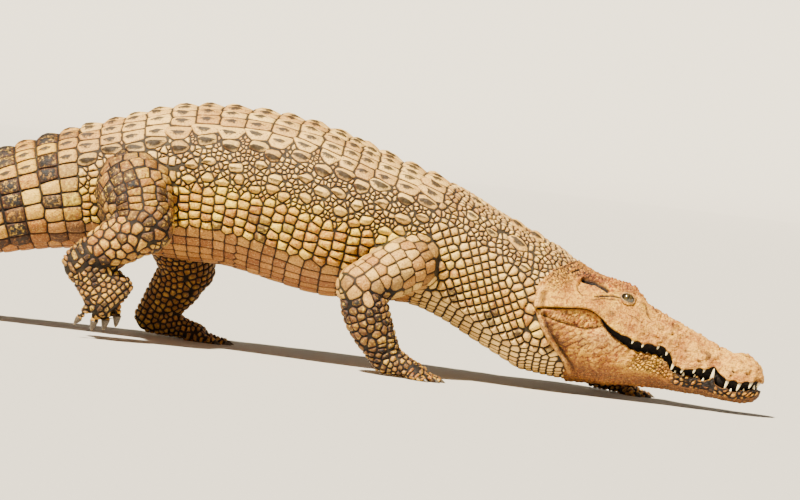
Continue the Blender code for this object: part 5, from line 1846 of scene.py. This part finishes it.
def floor_material():
    """Plain matt studio floor, with a fine tooth that keeps it from looking like glass."""
    material, tree = blank("studio_floor", 0.85, 0.2)
    grain = add(tree, "noise", add(tree, "place"), 90, 3)
    wear(tree, Base_Color=add(tree, "mix", grain, "#B9B3A8", "#C2BCB1"))
    return material


# ---------------------------------------------------------------- camera, light and floor
def look(obj, place, at, roll=0.0):
    """Places an object and turns its -Z to a point, then rolls it about that line of sight."""
    forward = unit(np.asarray(at, float) - place)
    right = unit(np.cross(forward, [0.0, 0.0, 1.0]))
    up = np.cross(right, forward)
    turned_right = right * math.cos(roll) + up * math.sin(roll)
    turned_up = -right * math.sin(roll) + up * math.cos(roll)
    matrix = np.eye(4)
    matrix[:3, :3] = np.stack([turned_right, turned_up, -forward], -1)
    matrix[:3, 3] = place
    obj.matrix_world = Matrix(matrix.tolist())


def set_camera():
    """A long lens almost level with the floor, from the animal's right and a little ahead, rolled so
    that the animal runs downhill."""
    camera = bpy.data.cameras.new("camera")
    camera.lens, camera.sensor_width = 225, 36
    camera.clip_end = 100
    obj = bpy.data.objects.new("camera", camera)
    bpy.context.scene.collection.objects.link(obj)
    elevation, turn, roll = np.radians([1.5, 3, 7])
    distance = 14.0
    forward = np.array([
        -math.sin(turn) * math.cos(elevation), math.cos(turn) * math.cos(elevation), -math.sin(elevation),
    ])
    aim = np.array([0.7208, 0.0, 0.3370]) + SHIFT
    look(obj, aim - forward * distance, aim, roll)
    bpy.context.scene.camera = obj


def area_light(name, place, at, size, power, colour):
    """A square light of a size in metres and a power in watts, turned to a point."""
    light = bpy.data.lights.new(name, "AREA")
    light.size, light.energy, light.color = size, power, linear(colour)[:3]
    obj = bpy.data.objects.new(name, light)
    bpy.context.scene.collection.objects.link(obj)
    look(obj, np.array(place, float), at)


def set_light():
    """A high warm key from behind the animal's right shoulder, a broad weak fill from the camera's
    side, and a pale surround."""
    sun = bpy.data.lights.new("key", "SUN")
    sun.energy, sun.angle, sun.color = 18.0, math.radians(3), linear("#FFF7E6")[:3]
    key = bpy.data.objects.new("key", sun)
    bpy.context.scene.collection.objects.link(key)
    look(key, np.array([-2.4, -3.9, 6.1]), np.zeros(3))
    area_light("fill", (4.5, -6.0, 1.5), (0.6, 0, 0.3), size=4.0, power=25, colour="#F3F6FF")
    world = bpy.data.worlds.new("surround")
    world.use_nodes = True
    background = world.node_tree.nodes["Background"]
    background.inputs[0].default_value = linear("#EDE8DF")
    background.inputs[1].default_value = 0.22
    bpy.context.scene.world = world


FLOOR_HALF, FLOOR_FLAT, FLOOR_CURVE = 70, 50, 14  # metres: half its side, its flat part, its curve


def make_floor():
    """A wide floor that curves up all round, far from the animal: z = 14 t^2 with t the share of
    the way from 50 m to 64 m out."""
    side = np.linspace(-FLOOR_HALF, FLOOR_HALF, 71)
    x, y = np.meshgrid(side, side, indexing="ij")
    rise = np.clip((np.hypot(x, y) - FLOOR_FLAT) / FLOOR_CURVE, 0, 1)
    points = np.stack([x, y, FLOOR_CURVE * rise**2], -1) - SHIFT
    faces = grid_faces(len(side), len(side))[:, ::-1]
    floor = make_mesh("floor", points, faces, floor_material())


# ---------------------------------------------------------------- putting it together
SKIN_VOXEL = 0.0079  # size of the cubes in which the skin is grown together
BODY_NODES = ["head", "lower_jaw", "neck", "belly", "hips"]
BODY_NODES += ["tail_base", "tail_middle", "tail_rear", "tail_tip"]
for limb in LIMBS:
    last = ("upper_arm", "forearm", "hand") if "fore" in limb else ("thigh", "shank", "foot")
    BODY_NODES += [f"{limb}_{part}" for part in last]
SMALL_SCALE = 0.0085  # mean half size below which a plate gets eight sectors instead of twelve
CHARTS = charts_of(HIDE_DEPTH)
CHART_NAMES = list(CHARTS)

set_camera()
set_light()
make_floor()

skin = make_skin(CHARTS)
table = trunk_scales(CHARTS["body"]) + tail_scales(CHARTS["body"]) + neck_scales(CHARTS["body"])
table += crown_scales(CHARTS["crown"])
for limb in LIMBS:
    table += limb_scales(CHARTS, limb)
table = np.concatenate(table)
scales = Scales(table, CHARTS, skin)
outline = scales.outlines(48)
small = np.sqrt(scales.column("half_length") * scales.column("half_width")) < SMALL_SCALE
sets = []
for fine, sectors in ((small, 8), (~small, 12)):
    sets.append((make_plates(scales, outline, fine, sectors, CHARTS, skin), np.flatnonzero(fine)))
chart, s, f, kind = (scales.column(key) for key in ("chart", "s", "f", "kind"))
tints = markings(CHARTS, chart, s, f, kind)
KERATIN = scale_material("scale_keratin", (0.62, 0.92), True, "#F2E3B2", 0.0036)
HIDE = scale_material("head_hide", (0.15, 1.0), False, "#F2CF82", 0.0080)
LIDS, EYES, ENAMEL, HORN = lid_material(), eye_material(), tooth_material(), claw_material()
# Points of each jaw's rings: over the roof and along the palate, on the jaw's top and underside.
ROOF, PALATE, JAW_TOP, JAW_UNDER = 243, 17, 23, 211
shapes = {
    "head_hide": (lambda h: upper_ring(h, ROOF, PALATE), upper_relief, slice(0, ROOF)),
    "jaw_hide": (lambda h: lower_ring(h, JAW_TOP, JAW_UNDER), lower_relief, slice(JAW_TOP - 1, None)),
}
for name, (rings, relief, shown) in shapes.items():
    h, grid, attributes = make_hide(rings, relief, shown)
    if name == "head_hide":
        grid = fit_eyes(grid)
    piece = hide_piece(name, h, grid, attributes, HIDE)
    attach(piece, "root")
for side, word in ((-1, "right"), (1, "left")):
    ball = make_eye(side, EYES)
    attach(ball, "root")
    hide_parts(f"{word}_eye")
    lids = lid_margin(side, LIDS)
    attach(lids, "root")
extras = [
    make_teeth("upper_teeth", UPPER_TEETH, True, ENAMEL),
    make_teeth("lower_teeth", LOWER_TEETH, False, ENAMEL),
]
extras += [make_claws(f"{limb}_claws", limb, HORN) for limb in LIMBS]
for piece in extras:
    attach(piece, "root")
for key, value in skin_markings(points_of(skin.data), scales, tints).items():
    skin.data.attributes.new(key, "FLOAT", "POINT").data.foreach_set("value", value.astype(np.float32))
skin.data.materials.append(skin_material())
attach(skin, "root")
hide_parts(*BODY_NODES)
root, shoulder = CHARTS["body"].s_at_x(TAIL_ROOT), CHARTS["body"].s_at_x(SHOULDER)
groups = {}
for name, low, high in (("tail", 0, root), ("trunk", root, shoulder), ("neck", shoulder, 9)):
    for side, word in ((-1, "right"), (1, "left")):
        mine = (chart == 0) & (s >= low) & (s < high)
        if name == "neck":
            mine |= chart == CHART_NAMES.index("crown")
        groups[f"{name}_scales_{word}"] = mine & (np.sign(f) == side)
for limb in LIMBS:
    numbers = [i for i, name in enumerate(CHART_NAMES) if name.startswith(limb)]
    groups[f"{limb}_scales"] = np.isin(chart, numbers)
for name, chosen in groups.items():
    piece = plates_piece(name, sets, chosen, tints, KERATIN)
    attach(piece, "root")
crest = crest_piece(CHARTS["body"], KERATIN)
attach(crest, "root")
